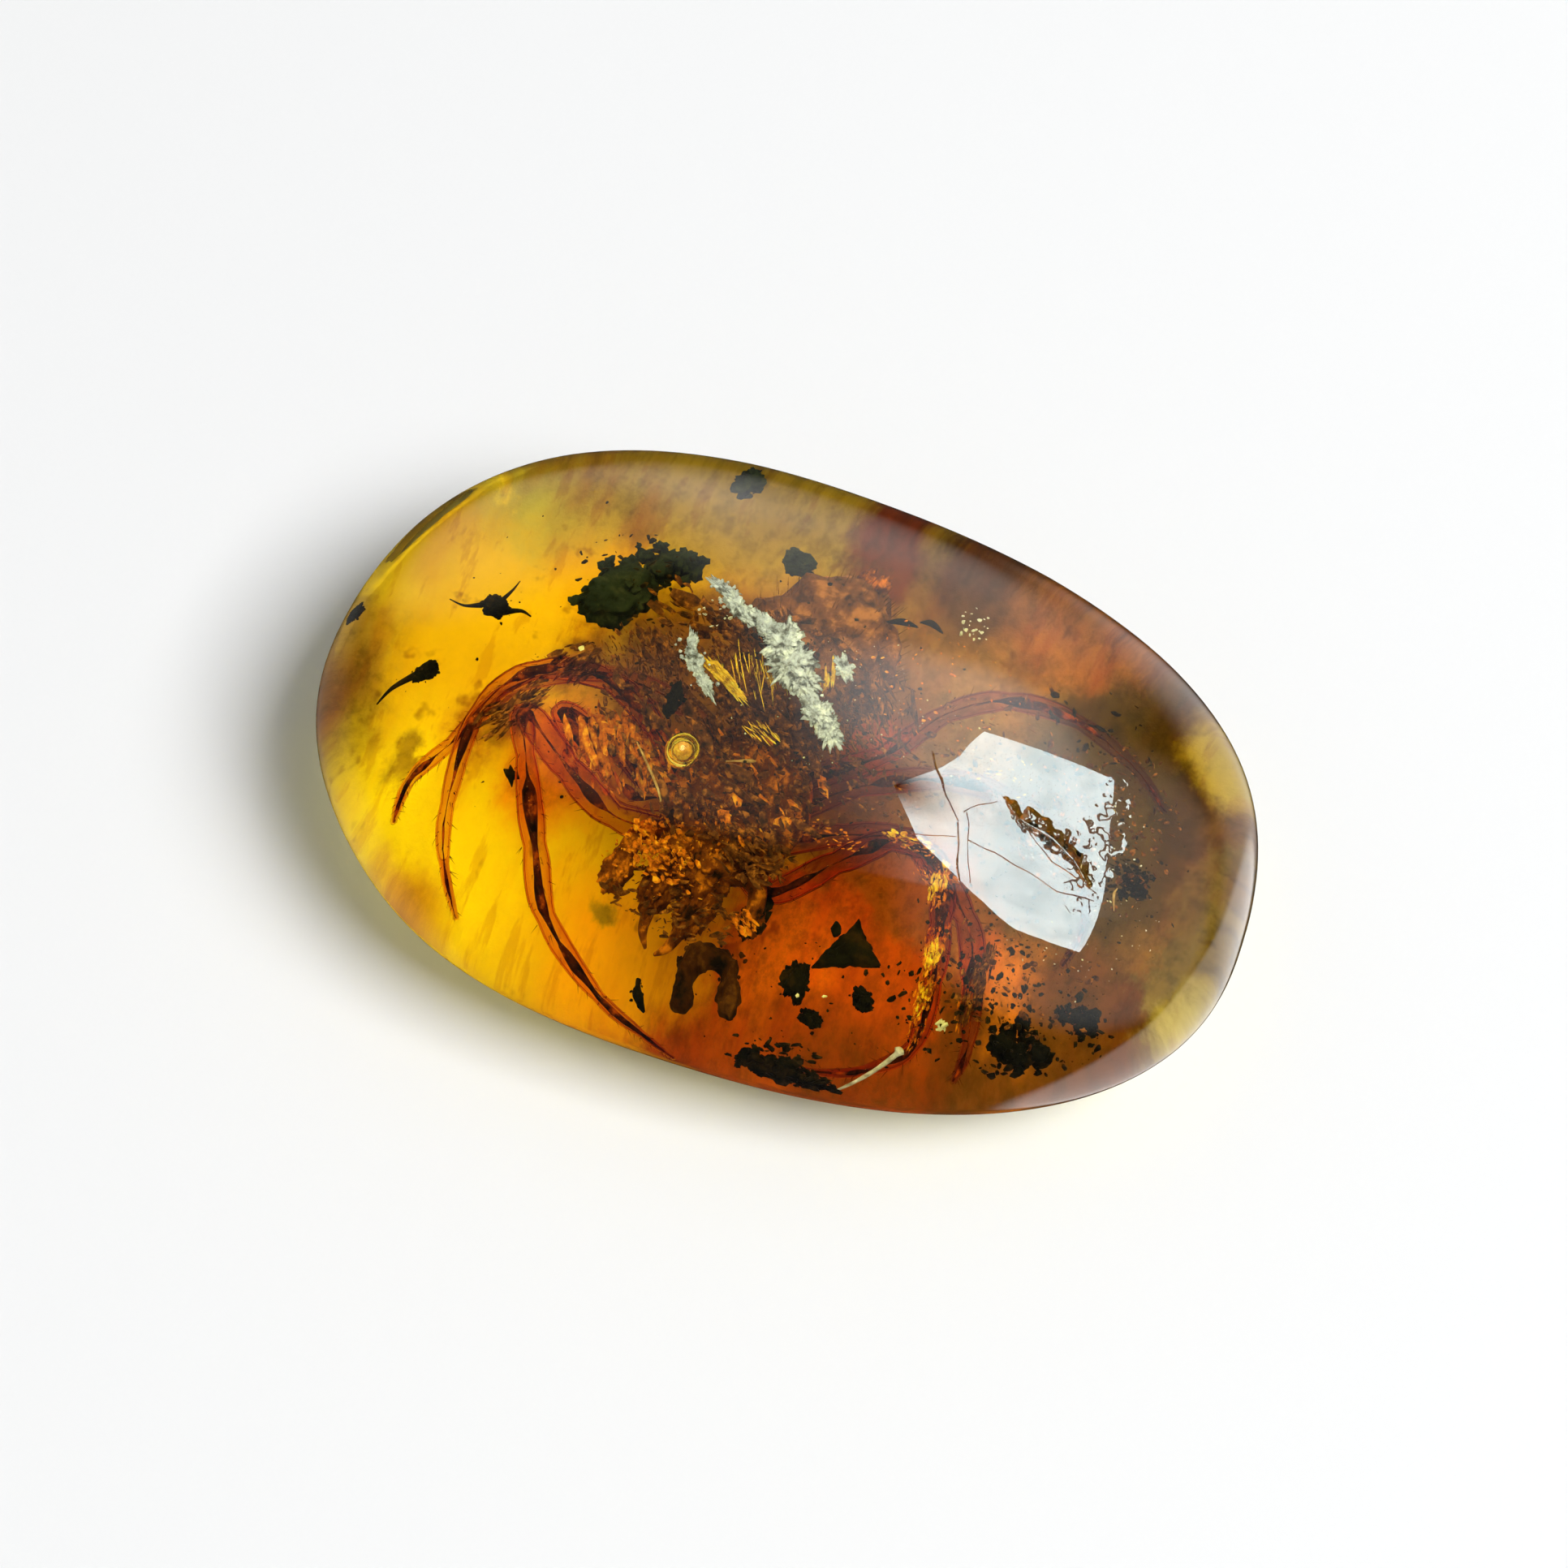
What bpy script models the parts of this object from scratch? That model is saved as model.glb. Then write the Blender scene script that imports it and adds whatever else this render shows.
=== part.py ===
"""Spider in amber: a polished stone, parted in two round a spider and scraps of forest litter.

Metres, +Z up. The flat underside lies on Z = 0, with the stone's long axis on X.
"""

import math

import bmesh
import bpy
from mathutils import Matrix, Vector, noise

MM = 0.001

# The stone is a rounded oval with a flat underside, a little fuller at its -X end.
LENGTH = 36.0 * MM
WIDTH = 23.6 * MM
HEIGHT = 12.5 * MM
GIRDLE_HEIGHT = 4.5 * MM  # where the stone is widest
BASE_SHARE = 0.62  # size of the flat underside, as a share of the widest outline
PLAN_POWER = 2.38  # 2 gives an ellipse, more gives fuller corners
DOME_POWER = 2.15
TAPER = 0.065
STONE_SEGMENTS = 44
STONE_RINGS = 18
# Spots where polishing took more or left a bulge: direction and spread in degrees, depth as a share.
WORN_SPOTS = ((8.0, 13.0, 0.016), (209.0, 16.0, 0.023), (185.0, 14.0, -0.015))

# The two halves stand apart by a gap, and every pocket leaves the same room round what it holds.
PARTING_HEIGHT = 5.0 * MM
GAP = 0.3 * MM
CLEARANCE = 0.3 * MM
POCKET_OVERLAP = 0.4 * MM  # how far a pocket runs past the parting plane
POCKET_SIDES = 8
POCKET_BODY_GRID = (10, 8)  # segments and rings, at most, of a pocket round a body part
TUBE_ROUNDNESS = 1  # bevel resolution, which gives six sides
MERGE_DISTANCE = 0.01 * MM

# The spider's body is drawn from its waist, with the head along -Y, then turned and placed.
WAIST = Vector((-0.3, 0.1, 5.4)) * MM
HEADING = math.radians(-14.0)
# Body parts: centre and half sizes in mm, segments and rings.
BODY = {
    "carapace": ((0.0, -2.5, 0.0), (2.55, 2.75, 1.35), 16, 8),
    "head": ((0.0, -4.3, 0.25), (1.5, 1.5, 1.15), 12, 8),
    "abdomen": ((-0.8, 2.85, 0.17), (3.0, 3.4, 2.1), 16, 10),
    "jaw_left": ((0.75, -5.6, -0.4), (0.65, 1.25, 0.7), 10, 6),
    "jaw_right": ((-0.75, -5.6, -0.4), (0.65, 1.25, 0.7), 10, 6),
    "palp_tip_left": ((2.75, -5.3, -0.1), (0.42, 0.55, 0.4), 8, 6),
    "palp_tip_right": ((-2.25, -6.4, -0.2), (0.5, 0.75, 0.45), 8, 6),
    "spinneret_left": ((-0.55, 6.25, 0.1), (0.3, 0.6, 0.3), 6, 4),
    "spinneret_right": ((-1.15, 6.25, 0.1), (0.3, 0.6, 0.3), 6, 4),
}
# Tubes on the body, in the same frame: each point is (x, y, z, radius) in mm.
BODY_TUBES = {
    "waist": ((0.0, -0.8, 0.0, 0.6), (0.0, 0.8, 0.1, 0.6)),
    "fang_left": ((0.7, -6.5, -0.6, 0.25), (0.55, -7.1, -0.9, 0.18), (0.2, -7.4, -1.2, 0.08)),
    "fang_right": ((-0.7, -6.5, -0.6, 0.25), (-0.55, -7.1, -0.9, 0.18), (-0.2, -7.4, -1.2, 0.08)),
    "palp_left": ((1.2, -4.2, 0.0, 0.35), (2.3, -4.4, 0.2, 0.35), (2.75, -5.2, 0.0, 0.32)),
    "palp_right": ((-1.2, -4.4, 0.0, 0.35), (-2.2, -5.1, 0.2, 0.35), (-2.25, -6.2, -0.1, 0.35)),
}
# Legs from hip to toe, as they lie in the stone: each point is (x, y, z, radius) in mm.
LEGS = {
    "leg_1_right": (
        (-2.4, -3.9, 5.4, 0.50), (-4.7, -4.2, 5.8, 0.50), (-6.8, -3.4, 6.2, 0.55), (-9.0, -2.1, 6.4, 0.48),
        (-8.4, -3.4, 6.2, 0.42), (-7.0, -5.9, 5.6, 0.50), (-5.8, -7.7, 5.0, 0.42), (-3.2, -9.4, 4.4, 0.28),
        (-1.4, -10.1, 4.0, 0.22), (-0.1, -10.6, 3.6, 0.12),
    ),
    "leg_2_right": (
        (-2.6, -2.6, 5.4, 0.48), (-4.4, -1.2, 6.2, 0.45), (-6.6, -0.2, 6.6, 0.45), (-9.2, -0.6, 6.6, 0.42),
        (-10.6, -2.4, 6.2, 0.38), (-10.4, -5.5, 5.4, 0.32), (-9.8, -7.2, 5.0, 0.22), (-8.9, -8.4, 4.4, 0.12),
    ),
    "leg_3_right": (
        (-2.6, -2.3, 5.2, 0.45), (-4.3, -3.0, 5.0, 0.45), (-5.8, -2.3, 4.9, 0.48), (-7.9, -1.2, 4.8, 0.40),
        (-7.2, -0.9, 4.2, 0.34), (-5.6, -1.3, 3.7, 0.34), (-4.3, -2.0, 3.5, 0.20),
    ),
    "leg_4_right": (
        (-1.8, -0.8, 5.0, 0.45), (-3.8, 0.4, 4.6, 0.40), (-7.1, 0.8, 4.2, 0.38), (-9.8, -0.4, 4.0, 0.34),
        (-11.2, -2.8, 3.8, 0.30), (-12.0, -4.2, 3.7, 0.24), (-12.0, -5.5, 3.6, 0.12),
    ),
    "leg_1_left": (
        (0.2, -4.1, 5.3, 0.48), (1.4, -4.7, 5.5, 0.45), (3.2, -3.3, 6.1, 0.48), (4.7, -2.1, 6.4, 0.45),
        (5.9, -2.0, 6.3, 0.42), (6.8, -2.6, 6.0, 0.42), (7.2, -3.8, 5.6, 0.46), (7.6, -5.4, 5.1, 0.40),
        (7.7, -7.4, 4.6, 0.30), (6.4, -8.5, 4.2, 0.20), (5.0, -9.0, 4.0, 0.16), (3.0, -9.2, 3.8, 0.10),
    ),
    "leg_2_left": (
        (0.8, -3.0, 5.1, 0.45), (2.9, -1.9, 5.0, 0.42), (5.2, -1.4, 4.8, 0.42), (7.7, -2.8, 4.4, 0.45),
        (8.7, -4.6, 4.3, 0.42), (9.3, -6.4, 4.1, 0.26), (9.3, -7.6, 3.9, 0.12),
    ),
    "leg_3_left": (
        (0.8, -2.0, 5.2, 0.45), (2.9, -0.5, 5.7, 0.42), (5.4, 0.6, 5.9, 0.42), (7.8, 0.9, 5.5, 0.38),
        (10.1, 0.2, 5.0, 0.34), (11.4, -1.6, 4.5, 0.22), (11.2, -3.0, 4.1, 0.12),
    ),
    "leg_4_left": (
        (0.5, -0.9, 5.2, 0.45), (3.1, 0.9, 5.2, 0.42), (4.6, 3.0, 5.6, 0.40), (6.4, 4.3, 5.4, 0.38),
        (8.8, 4.6, 5.0, 0.32), (11.1, 3.9, 4.6, 0.24), (12.4, 3.0, 4.3, 0.12),
    ),
}

# Dark litter: centre and half sizes in mm, and a turn about Z in degrees.
LITTER = {
    "bark_lump": ((-7.8, 3.2, 5.6), (1.30, 1.10, 0.80), 20.0),
    "bark_shred": ((-6.8, 5.0, 5.2), (1.30, 0.60, 0.45), 10.0),
    "tailed_crumb": ((-11.6, 1.5, 5.6), (0.70, 0.45, 0.40), -15.0),
    "comma_crumb": ((-13.0, -1.3, 5.2), (0.60, 0.35, 0.35), 40.0),
    "top_chip": ((-2.4, 6.4, 5.4), (0.60, 0.40, 0.30), -25.0),
    "leaf_chip": ((4.4, -5.3, 5.4), (1.10, 1.00, 0.35), 30.0),
    "leaf_scrap": ((3.2, -6.9, 5.0), (0.60, 0.75, 0.35), 10.0),
    "seed_speck": ((5.7, -7.1, 5.6), (0.42, 0.30, 0.25), -35.0),
    "soil_clot": ((11.3, -6.9, 5.3), (1.10, 0.75, 0.45), -25.0),
    "soil_clot_small": ((12.8, -5.1, 5.3), (0.85, 0.60, 0.40), -35.0),
    "soil_cluster": ((12.8, -0.4, 6.0), (0.60, 0.55, 0.40), 0.0),
    "edge_clot": ((3.5, -9.9, 4.6), (1.30, 0.50, 0.45), -3.0),
    "edge_speck": ((-16.5, 0.3, 5.0), (0.40, 0.28, 0.28), 60.0),
    "small_chip": ((4.2, -8.1, 5.3), (0.40, 0.25, 0.22), -10.0),
    "drop_speck": ((-4.1, -0.6, 8.0), (0.26, 0.62, 0.26), 8.0),
    "deep_chip": ((-5.5, 8.7, 4.6), (0.45, 0.55, 0.30), 15.0),
}
SMALL_SCRAP = 0.65  # mm: a scrap with half sizes all under this is modelled more simply
LUMP_DEPTH = 0.28  # how far the surface of a scrap wanders, as a share of its size
LUMP_PITCH = 1.7  # lumps across a scrap
BENT_SCRAPS = {
    "arch_scrap": (
        (-0.4, -8.7, 4.8, 0.40), (-0.4, -7.5, 5.1, 0.46), (0.5, -7.2, 5.2, 0.40), (1.1, -7.6, 5.1, 0.40),
        (1.2, -8.6, 4.8, 0.32),
    ),
    "crescent_scrap": ((-1.9, -8.8, 5.1, 0.08), (-1.9, -9.2, 5.0, 0.20), (-1.6, -9.6, 4.9, 0.08)),
}

# Silver crust over the abdomen: overlapping flakes, each a centre, half sizes in mm and a turn in degrees.
CRUST = {
    "silver_crust": (
        ((-3.4, 2.9, 11.0), (1.10, 0.36, 0.20), -28.0),
        ((-1.8, 2.1, 11.1), (1.15, 0.52, 0.22), -28.0),
        ((-0.3, 1.2, 11.1), (1.10, 0.55, 0.24), -38.0),
        ((0.9, 0.1, 11.1), (1.10, 0.40, 0.22), -42.0),
        ((1.8, -0.6, 11.0), (0.70, 0.36, 0.20), -50.0),
    ),
    "silver_flake_left": (
        ((-3.9, 0.4, 11.0), (0.60, 0.22, 0.16), -60.0),
        ((-3.2, -0.4, 11.0), (0.65, 0.24, 0.16), -42.0),
    ),
    "silver_flake_small": (((1.4, 1.7, 11.1), (0.42, 0.22, 0.16), -45.0),),
}
NEEDLE = ((5.9, -10.1, 4.3, 0.10), (7.1, -9.3, 5.4, 0.12), (7.7, -8.8, 6.1, 0.18))

COLLECTION = "spider_in_amber"


def new_collection(name, hidden=False):
    """A collection of the scene; a hidden one holds shapes that only cut or join."""
    collection = bpy.data.collections.new(name)
    collection.hide_render = hidden
    bpy.context.scene.collection.children.link(collection)
    return collection


def material(name, colour, roughness, transmission=0.0):
    """A plain Principled material."""
    made = bpy.data.materials.new(name)
    made.use_nodes = True
    shader = made.node_tree.nodes["Principled BSDF"]
    shader.inputs["Base Color"].default_value = (*colour, 1.0)
    shader.inputs["Roughness"].default_value = roughness
    shader.inputs["Transmission Weight"].default_value = transmission
    made.diffuse_color = (*colour, 1.0)
    return made


def add_object(name, bm, collection, finish=None):
    """Turns a bmesh into an object of the collection."""
    bmesh.ops.recalc_face_normals(bm, faces=bm.faces)
    mesh = bpy.data.meshes.new(name)
    bm.to_mesh(mesh)
    bm.free()
    made = bpy.data.objects.new(name, mesh)
    collection.objects.link(made)
    if finish:
        mesh.materials.append(finish)
    if collection.hide_render:
        made.hide_render = True
        made.display_type = "WIRE"
    return made


def add_boolean(target, operation, collection):
    """Joins to the target, or cuts from it, every shape of a hidden collection."""
    modifier = target.modifiers.new(collection.name, "BOOLEAN")
    modifier.operation = operation
    modifier.operand_type = "COLLECTION"
    modifier.collection = collection
    modifier.solver = "EXACT"


def stone_point(direction):
    """Where a point of the unit sphere lies on the polished stone."""
    ring = math.hypot(direction.x, direction.y)
    angle = math.atan2(direction.y, direction.x)
    x = math.copysign(abs(math.cos(angle)) ** (2.0 / PLAN_POWER), math.cos(angle)) * LENGTH / 2.0
    y = math.copysign(abs(math.sin(angle)) ** (2.0 / PLAN_POWER), math.sin(angle)) * WIDTH / 2.0
    y *= 1.0 - TAPER * x / (LENGTH / 2.0)
    plan_angle = math.degrees(math.atan2(y, x))
    share = 1.0
    for spot, spread, depth in WORN_SPOTS:
        away = (plan_angle - spot + 180.0) % 360.0 - 180.0
        share -= depth * math.exp(-((away / spread) ** 2))
    if direction.z >= 0.0:
        share *= ring ** (2.0 / DOME_POWER)
        z = GIRDLE_HEIGHT + (HEIGHT - GIRDLE_HEIGHT) * direction.z ** (2.0 / DOME_POWER)
    else:
        share *= ring
        z = GIRDLE_HEIGHT * (1.0 + direction.z / math.sqrt(1.0 - BASE_SHARE**2))
    return Vector((x * share, y * share, z))


def cut_level(bm, height, keep_above):
    """Cuts a closed shape off level at a height and closes it with a flat face."""
    geometry = bm.verts[:] + bm.edges[:] + bm.faces[:]
    cut = bmesh.ops.bisect_plane(
        bm,
        geom=geometry,
        plane_co=(0.0, 0.0, height),
        plane_no=(0.0, 0.0, 1.0),
        clear_inner=keep_above,
        clear_outer=not keep_above,
    )
    rim = [item for item in cut["geom_cut"] if isinstance(item, bmesh.types.BMEdge)]
    bmesh.ops.contextual_create(bm, geom=rim)


def add_stone_half(name, height, keep_above, collection, finish):
    """One half of the stone, before its pockets are cut."""
    bm = bmesh.new()
    bmesh.ops.create_uvsphere(bm, u_segments=STONE_SEGMENTS, v_segments=STONE_RINGS, radius=1.0)
    for vert in bm.verts:
        vert.co = stone_point(vert.co)
    cut_level(bm, 0.0, keep_above=True)
    cut_level(bm, height, keep_above)
    return add_object(name, bm, collection, finish)


def add_ellipsoid(name, centre, half_sizes, segments, rings, grow, collection):
    """A rounded body part, in the spider's own frame."""
    bm = bmesh.new()
    bmesh.ops.create_uvsphere(bm, u_segments=segments, v_segments=rings, radius=1.0)
    sizes = Vector(half_sizes) * MM + Vector((grow, grow, grow))
    bmesh.ops.scale(bm, vec=sizes, verts=bm.verts)
    bmesh.ops.translate(bm, vec=Vector(centre) * MM, verts=bm.verts)
    return add_object(name, bm, collection)


def add_tube(name, points, grow, collection, finish=None):
    """A round tube through the points, with its own radius at each, as a closed mesh."""
    places = [Vector(point[:3]) * MM for point in points]
    radii = [point[3] * MM + grow for point in points]
    places[0] += (places[0] - places[1]).normalized() * grow
    places[-1] += (places[-1] - places[-2]).normalized() * grow
    curve = bpy.data.curves.new(name, "CURVE")
    curve.dimensions = "3D"
    curve.bevel_depth = 1.0
    curve.bevel_resolution = TUBE_ROUNDNESS
    curve.use_fill_caps = True
    spline = curve.splines.new("POLY")
    spline.points.add(len(places) - 1)
    for point, place, radius in zip(spline.points, places, radii):
        point.co = (*place, 1.0)
        point.radius = radius
    drawn = bpy.data.objects.new(name, curve)
    collection.objects.link(drawn)
    bpy.context.view_layer.update()
    evaluated = drawn.evaluated_get(bpy.context.evaluated_depsgraph_get())
    bm = bmesh.new()
    bm.from_mesh(bpy.data.meshes.new_from_object(evaluated))
    bmesh.ops.remove_doubles(bm, verts=bm.verts, dist=MERGE_DISTANCE)
    bpy.data.objects.remove(drawn)
    return add_object(name, bm, collection, finish)


def add_spider_shapes(collection, grow):
    """Every shape of the spider, grown on all sides by a clearance, ready to be joined."""
    standing = Matrix.Translation(WAIST) @ Matrix.Rotation(HEADING, 4, "Z")
    for name, (centre, half_sizes, segments, rings) in BODY.items():
        if grow:
            segments = min(segments, POCKET_BODY_GRID[0])
            rings = min(rings, POCKET_BODY_GRID[1])
        shape = add_ellipsoid(name, centre, half_sizes, segments, rings, grow, collection)
        shape.matrix_world = standing
    for name, points in BODY_TUBES.items():
        shape = add_tube(name, points, grow, collection)
        shape.matrix_world = standing
    for name, points in LEGS.items():
        add_tube(name, points, grow, collection)


def scrap_mesh(centre, half_sizes, turn):
    """A closed rough lump, its surface wandering by smooth noise."""
    bm = bmesh.new()
    subdivisions = 1 if max(half_sizes) < SMALL_SCRAP else 2
    bmesh.ops.create_icosphere(bm, subdivisions=subdivisions, radius=1.0)
    seed = Vector(centre)
    for vert in bm.verts:
        vert.co *= 1.0 + LUMP_DEPTH * noise.noise(vert.co * LUMP_PITCH + seed)
    bmesh.ops.scale(bm, vec=Vector(half_sizes) * MM, verts=bm.verts)
    place = Matrix.Translation(Vector(centre) * MM) @ Matrix.Rotation(math.radians(turn), 4, "Z")
    bmesh.ops.transform(bm, matrix=place, verts=bm.verts)
    return bm


def add_well(name, centre, half_sizes, turn, collection):
    """An upright oval pocket round a scrap, open at the parting plane."""
    room = [size * (1.0 + LUMP_DEPTH) * MM + CLEARANCE for size in half_sizes]
    low = min(centre[2] * MM - room[2], PARTING_HEIGHT - POCKET_OVERLAP)
    high = max(centre[2] * MM + room[2], PARTING_HEIGHT + POCKET_OVERLAP)
    place = Matrix.Translation((centre[0] * MM, centre[1] * MM, (low + high) / 2.0))
    bm = bmesh.new()
    bmesh.ops.create_cone(
        bm,
        cap_ends=True,
        segments=POCKET_SIDES,
        radius1=1.0,
        radius2=1.0,
        depth=high - low,
    )
    bmesh.ops.scale(bm, vec=(room[0], room[1], 1.0), verts=bm.verts)
    bmesh.ops.transform(bm, matrix=place @ Matrix.Rotation(math.radians(turn), 4, "Z"), verts=bm.verts)
    add_object(name, bm, collection)


def build():
    """Makes every node, and the pockets that the sealed ones lie in."""
    for existing in list(bpy.data.objects):
        bpy.data.objects.remove(existing)
    part = new_collection(COLLECTION)
    body_shapes = new_collection("spider_shapes", hidden=True)
    pockets = new_collection("pockets", hidden=True)

    amber = material("amber", (0.85, 0.42, 0.05), 0.05, transmission=0.9)
    cuticle = material("spider_cuticle", (0.22, 0.07, 0.02), 0.45)
    bark = material("dark_litter", (0.03, 0.03, 0.02), 0.8)
    silver = material("silver_crust", (0.72, 0.71, 0.66), 0.5)
    straw = material("pale_needle", (0.80, 0.74, 0.62), 0.5)

    add_spider_shapes(body_shapes, grow=0.0)
    add_spider_shapes(pockets, grow=CLEARANCE)
    carapace = body_shapes.objects["carapace"]
    spider = bpy.data.objects.new("spider", carapace.data.copy())
    spider.matrix_world = carapace.matrix_world
    spider.data.materials.append(cuticle)
    part.objects.link(spider)
    bpy.data.objects.remove(carapace)
    add_boolean(spider, "UNION", body_shapes)

    for name, (centre, half_sizes, turn) in LITTER.items():
        add_object(name, scrap_mesh(centre, half_sizes, turn), part, bark)
        add_well(name + "_well", centre, half_sizes, turn, pockets)
    for name, points in BENT_SCRAPS.items():
        add_tube(name, points, 0.0, part, bark)
        add_tube(name + "_pocket", points, CLEARANCE, pockets)
    for name, flakes in CRUST.items():
        add_object(name, scrap_mesh(*flakes[0]), part, silver)
        for count, (centre, half_sizes, turn) in enumerate(flakes):
            add_well(f"{name}_well_{count}", centre, half_sizes, turn, pockets)
        if len(flakes) > 1:
            joined = new_collection(name + "_shapes", hidden=True)
            for count, flake in enumerate(flakes[1:]):
                add_object(f"{name}_{count}", scrap_mesh(*flake), joined)
            add_boolean(part.objects[name], "UNION", joined)
    add_tube("pale_needle", NEEDLE, 0.0, part, straw)
    add_tube("pale_needle_pocket", NEEDLE, CLEARANCE, pockets)

    halves = (
        add_stone_half("amber_top", PARTING_HEIGHT + GAP / 2.0, True, part, amber),
        add_stone_half("amber_bottom", PARTING_HEIGHT - GAP / 2.0, False, part, amber),
    )
    for half in halves:
        add_boolean(half, "DIFFERENCE", pockets)


build()
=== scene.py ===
import math
import random

import bmesh
import bpy
from mathutils import Matrix, Vector, noise


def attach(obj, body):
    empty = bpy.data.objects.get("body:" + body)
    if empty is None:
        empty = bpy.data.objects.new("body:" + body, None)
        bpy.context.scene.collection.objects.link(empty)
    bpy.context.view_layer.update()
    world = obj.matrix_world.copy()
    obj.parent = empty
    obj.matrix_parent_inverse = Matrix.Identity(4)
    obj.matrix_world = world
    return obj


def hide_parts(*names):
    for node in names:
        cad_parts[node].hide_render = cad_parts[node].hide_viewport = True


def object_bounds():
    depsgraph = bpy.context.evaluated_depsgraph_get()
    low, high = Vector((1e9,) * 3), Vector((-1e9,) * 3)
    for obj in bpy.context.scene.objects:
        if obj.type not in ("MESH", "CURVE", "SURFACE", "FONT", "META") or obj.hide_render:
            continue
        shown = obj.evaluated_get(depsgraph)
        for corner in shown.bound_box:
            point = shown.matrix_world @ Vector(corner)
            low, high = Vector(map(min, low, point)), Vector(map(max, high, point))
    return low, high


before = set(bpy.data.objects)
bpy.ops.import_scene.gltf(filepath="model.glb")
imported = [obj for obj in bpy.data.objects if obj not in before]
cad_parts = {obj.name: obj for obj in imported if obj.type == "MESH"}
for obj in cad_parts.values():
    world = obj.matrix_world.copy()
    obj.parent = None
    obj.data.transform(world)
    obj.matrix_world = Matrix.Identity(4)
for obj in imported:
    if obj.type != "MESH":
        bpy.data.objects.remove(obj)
cad_low, cad_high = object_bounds()

# --- The spider's legs ---
# Eight jointed legs, thin hollow shells of cuticle that the resin has filled and stained.
# They grow from the body. Toes are too fine to be hollow, and darker.
MM = 0.001
LEG_SIDES = 16
STEPS_PER_JOINT = 7
CUTICLE_WALL = 0.07  # mm
HOLLOW_ABOVE = 0.2  # mm: a leg thinner than this is solid
JOINT_PINCH = 0.2
CAP_REACH, CAP_WIDTH = 0.5, 0.6  # a tube's rounded end, as shares of its radius
LEGS = {
    "leg_1_right": (
        (-2.4, -3.9, 5.4, 0.5), (-4.7, -4.2, 5.8, 0.5), (-6.8, -3.4, 6.2, 0.55), (-9.0, -2.1, 6.4, 0.48),
        (-8.4, -3.4, 6.2, 0.42), (-7.0, -5.9, 5.6, 0.5), (-5.8, -7.7, 5.0, 0.42), (-3.2, -9.4, 4.4, 0.28),
        (-1.4, -10.1, 4.0, 0.22), (-0.1, -10.6, 3.6, 0.12),
    ),
    "leg_2_right": (
        (-2.6, -2.6, 5.4, 0.48), (-4.4, -1.2, 6.2, 0.45), (-6.6, -0.2, 6.6, 0.45), (-9.2, -0.6, 6.6, 0.42),
        (-10.6, -2.4, 6.2, 0.38), (-10.4, -5.5, 5.4, 0.32), (-9.8, -7.2, 5.0, 0.22), (-8.9, -8.4, 4.4, 0.12),
    ),
    "leg_3_right": (
        (-2.6, -2.3, 5.2, 0.45), (-4.3, -3.0, 5.0, 0.45), (-5.8, -2.3, 4.9, 0.48), (-7.9, -1.2, 4.8, 0.4),
        (-7.2, -0.9, 4.2, 0.34), (-5.6, -1.3, 3.7, 0.34), (-4.3, -2.0, 3.5, 0.2),
    ),
    "leg_4_right": (
        (-1.8, -0.8, 5.0, 0.45), (-3.8, 0.4, 4.6, 0.4), (-7.1, 0.8, 4.2, 0.38), (-9.8, -0.4, 4.0, 0.34),
        (-11.2, -2.8, 3.8, 0.3), (-12.0, -4.2, 3.7, 0.24), (-12.0, -5.5, 3.6, 0.12),
    ),
    "leg_1_left": (
        (0.2, -4.1, 5.3, 0.48), (1.4, -4.7, 5.5, 0.45), (3.2, -3.3, 6.1, 0.48), (4.7, -2.1, 6.4, 0.45),
        (5.9, -2.0, 6.3, 0.42), (6.8, -2.6, 6.0, 0.42), (7.2, -3.8, 5.6, 0.46), (7.6, -5.4, 5.1, 0.4),
        (7.7, -7.4, 4.6, 0.3), (6.4, -8.5, 4.2, 0.2), (5.0, -9.0, 4.0, 0.16), (3.0, -9.2, 3.8, 0.1),
    ),
    "leg_2_left": (
        (0.8, -3.0, 5.1, 0.45), (2.9, -1.9, 5.0, 0.42), (5.2, -1.4, 4.8, 0.42), (7.7, -2.8, 4.4, 0.45),
        (8.7, -4.6, 4.3, 0.42), (9.3, -6.4, 4.1, 0.26), (9.3, -7.6, 3.9, 0.12),
    ),
    "leg_3_left": (
        (0.8, -2.0, 5.2, 0.45), (2.9, -0.5, 5.7, 0.42), (5.4, 0.6, 5.9, 0.42), (7.8, 0.9, 5.5, 0.38),
        (10.1, 0.2, 5.0, 0.34), (11.4, -1.6, 4.5, 0.22), (11.2, -3.0, 4.1, 0.12),
    ),
    "leg_4_left": (
        (0.5, -0.9, 5.2, 0.45), (3.1, 0.9, 5.2, 0.42), (4.6, 3.0, 5.6, 0.4), (6.4, 4.3, 5.4, 0.38),
        (8.8, 4.6, 5.0, 0.32), (11.1, 3.9, 4.6, 0.24), (12.4, 3.0, 4.3, 0.12),
    ),
}


def smooth_path(points, pinch=0.0):
    """A smooth curve through points (x, y, z, radius), drawn in at each of them by the pinch."""
    ends = [points[0], *points, points[-1]]
    drawn = []
    for before, start, end, after in zip(ends, ends[1:], ends[2:], ends[3:]):
        for step in range(STEPS_PER_JOINT):
            t = step / STEPS_PER_JOINT
            place = []
            for a, b, c, d in zip(before, start, end, after):
                bend = (2 * a - 5 * b + 4 * c - d) * t**2 + (3 * b - a - 3 * c + d) * t**3
                place.append(0.5 * (2 * b + (c - a) * t + bend))
            place[3] *= 1.0 - pinch * abs(math.cos(math.pi * t)) ** 8
            drawn.append(tuple(place))
    drawn.append(tuple(points[-1]))
    return drawn


def turned_to(way):
    """The turn that takes the upright to a way."""
    return Vector((0.0, 0.0, 1.0)).rotation_difference(way).to_matrix().to_4x4()


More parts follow.
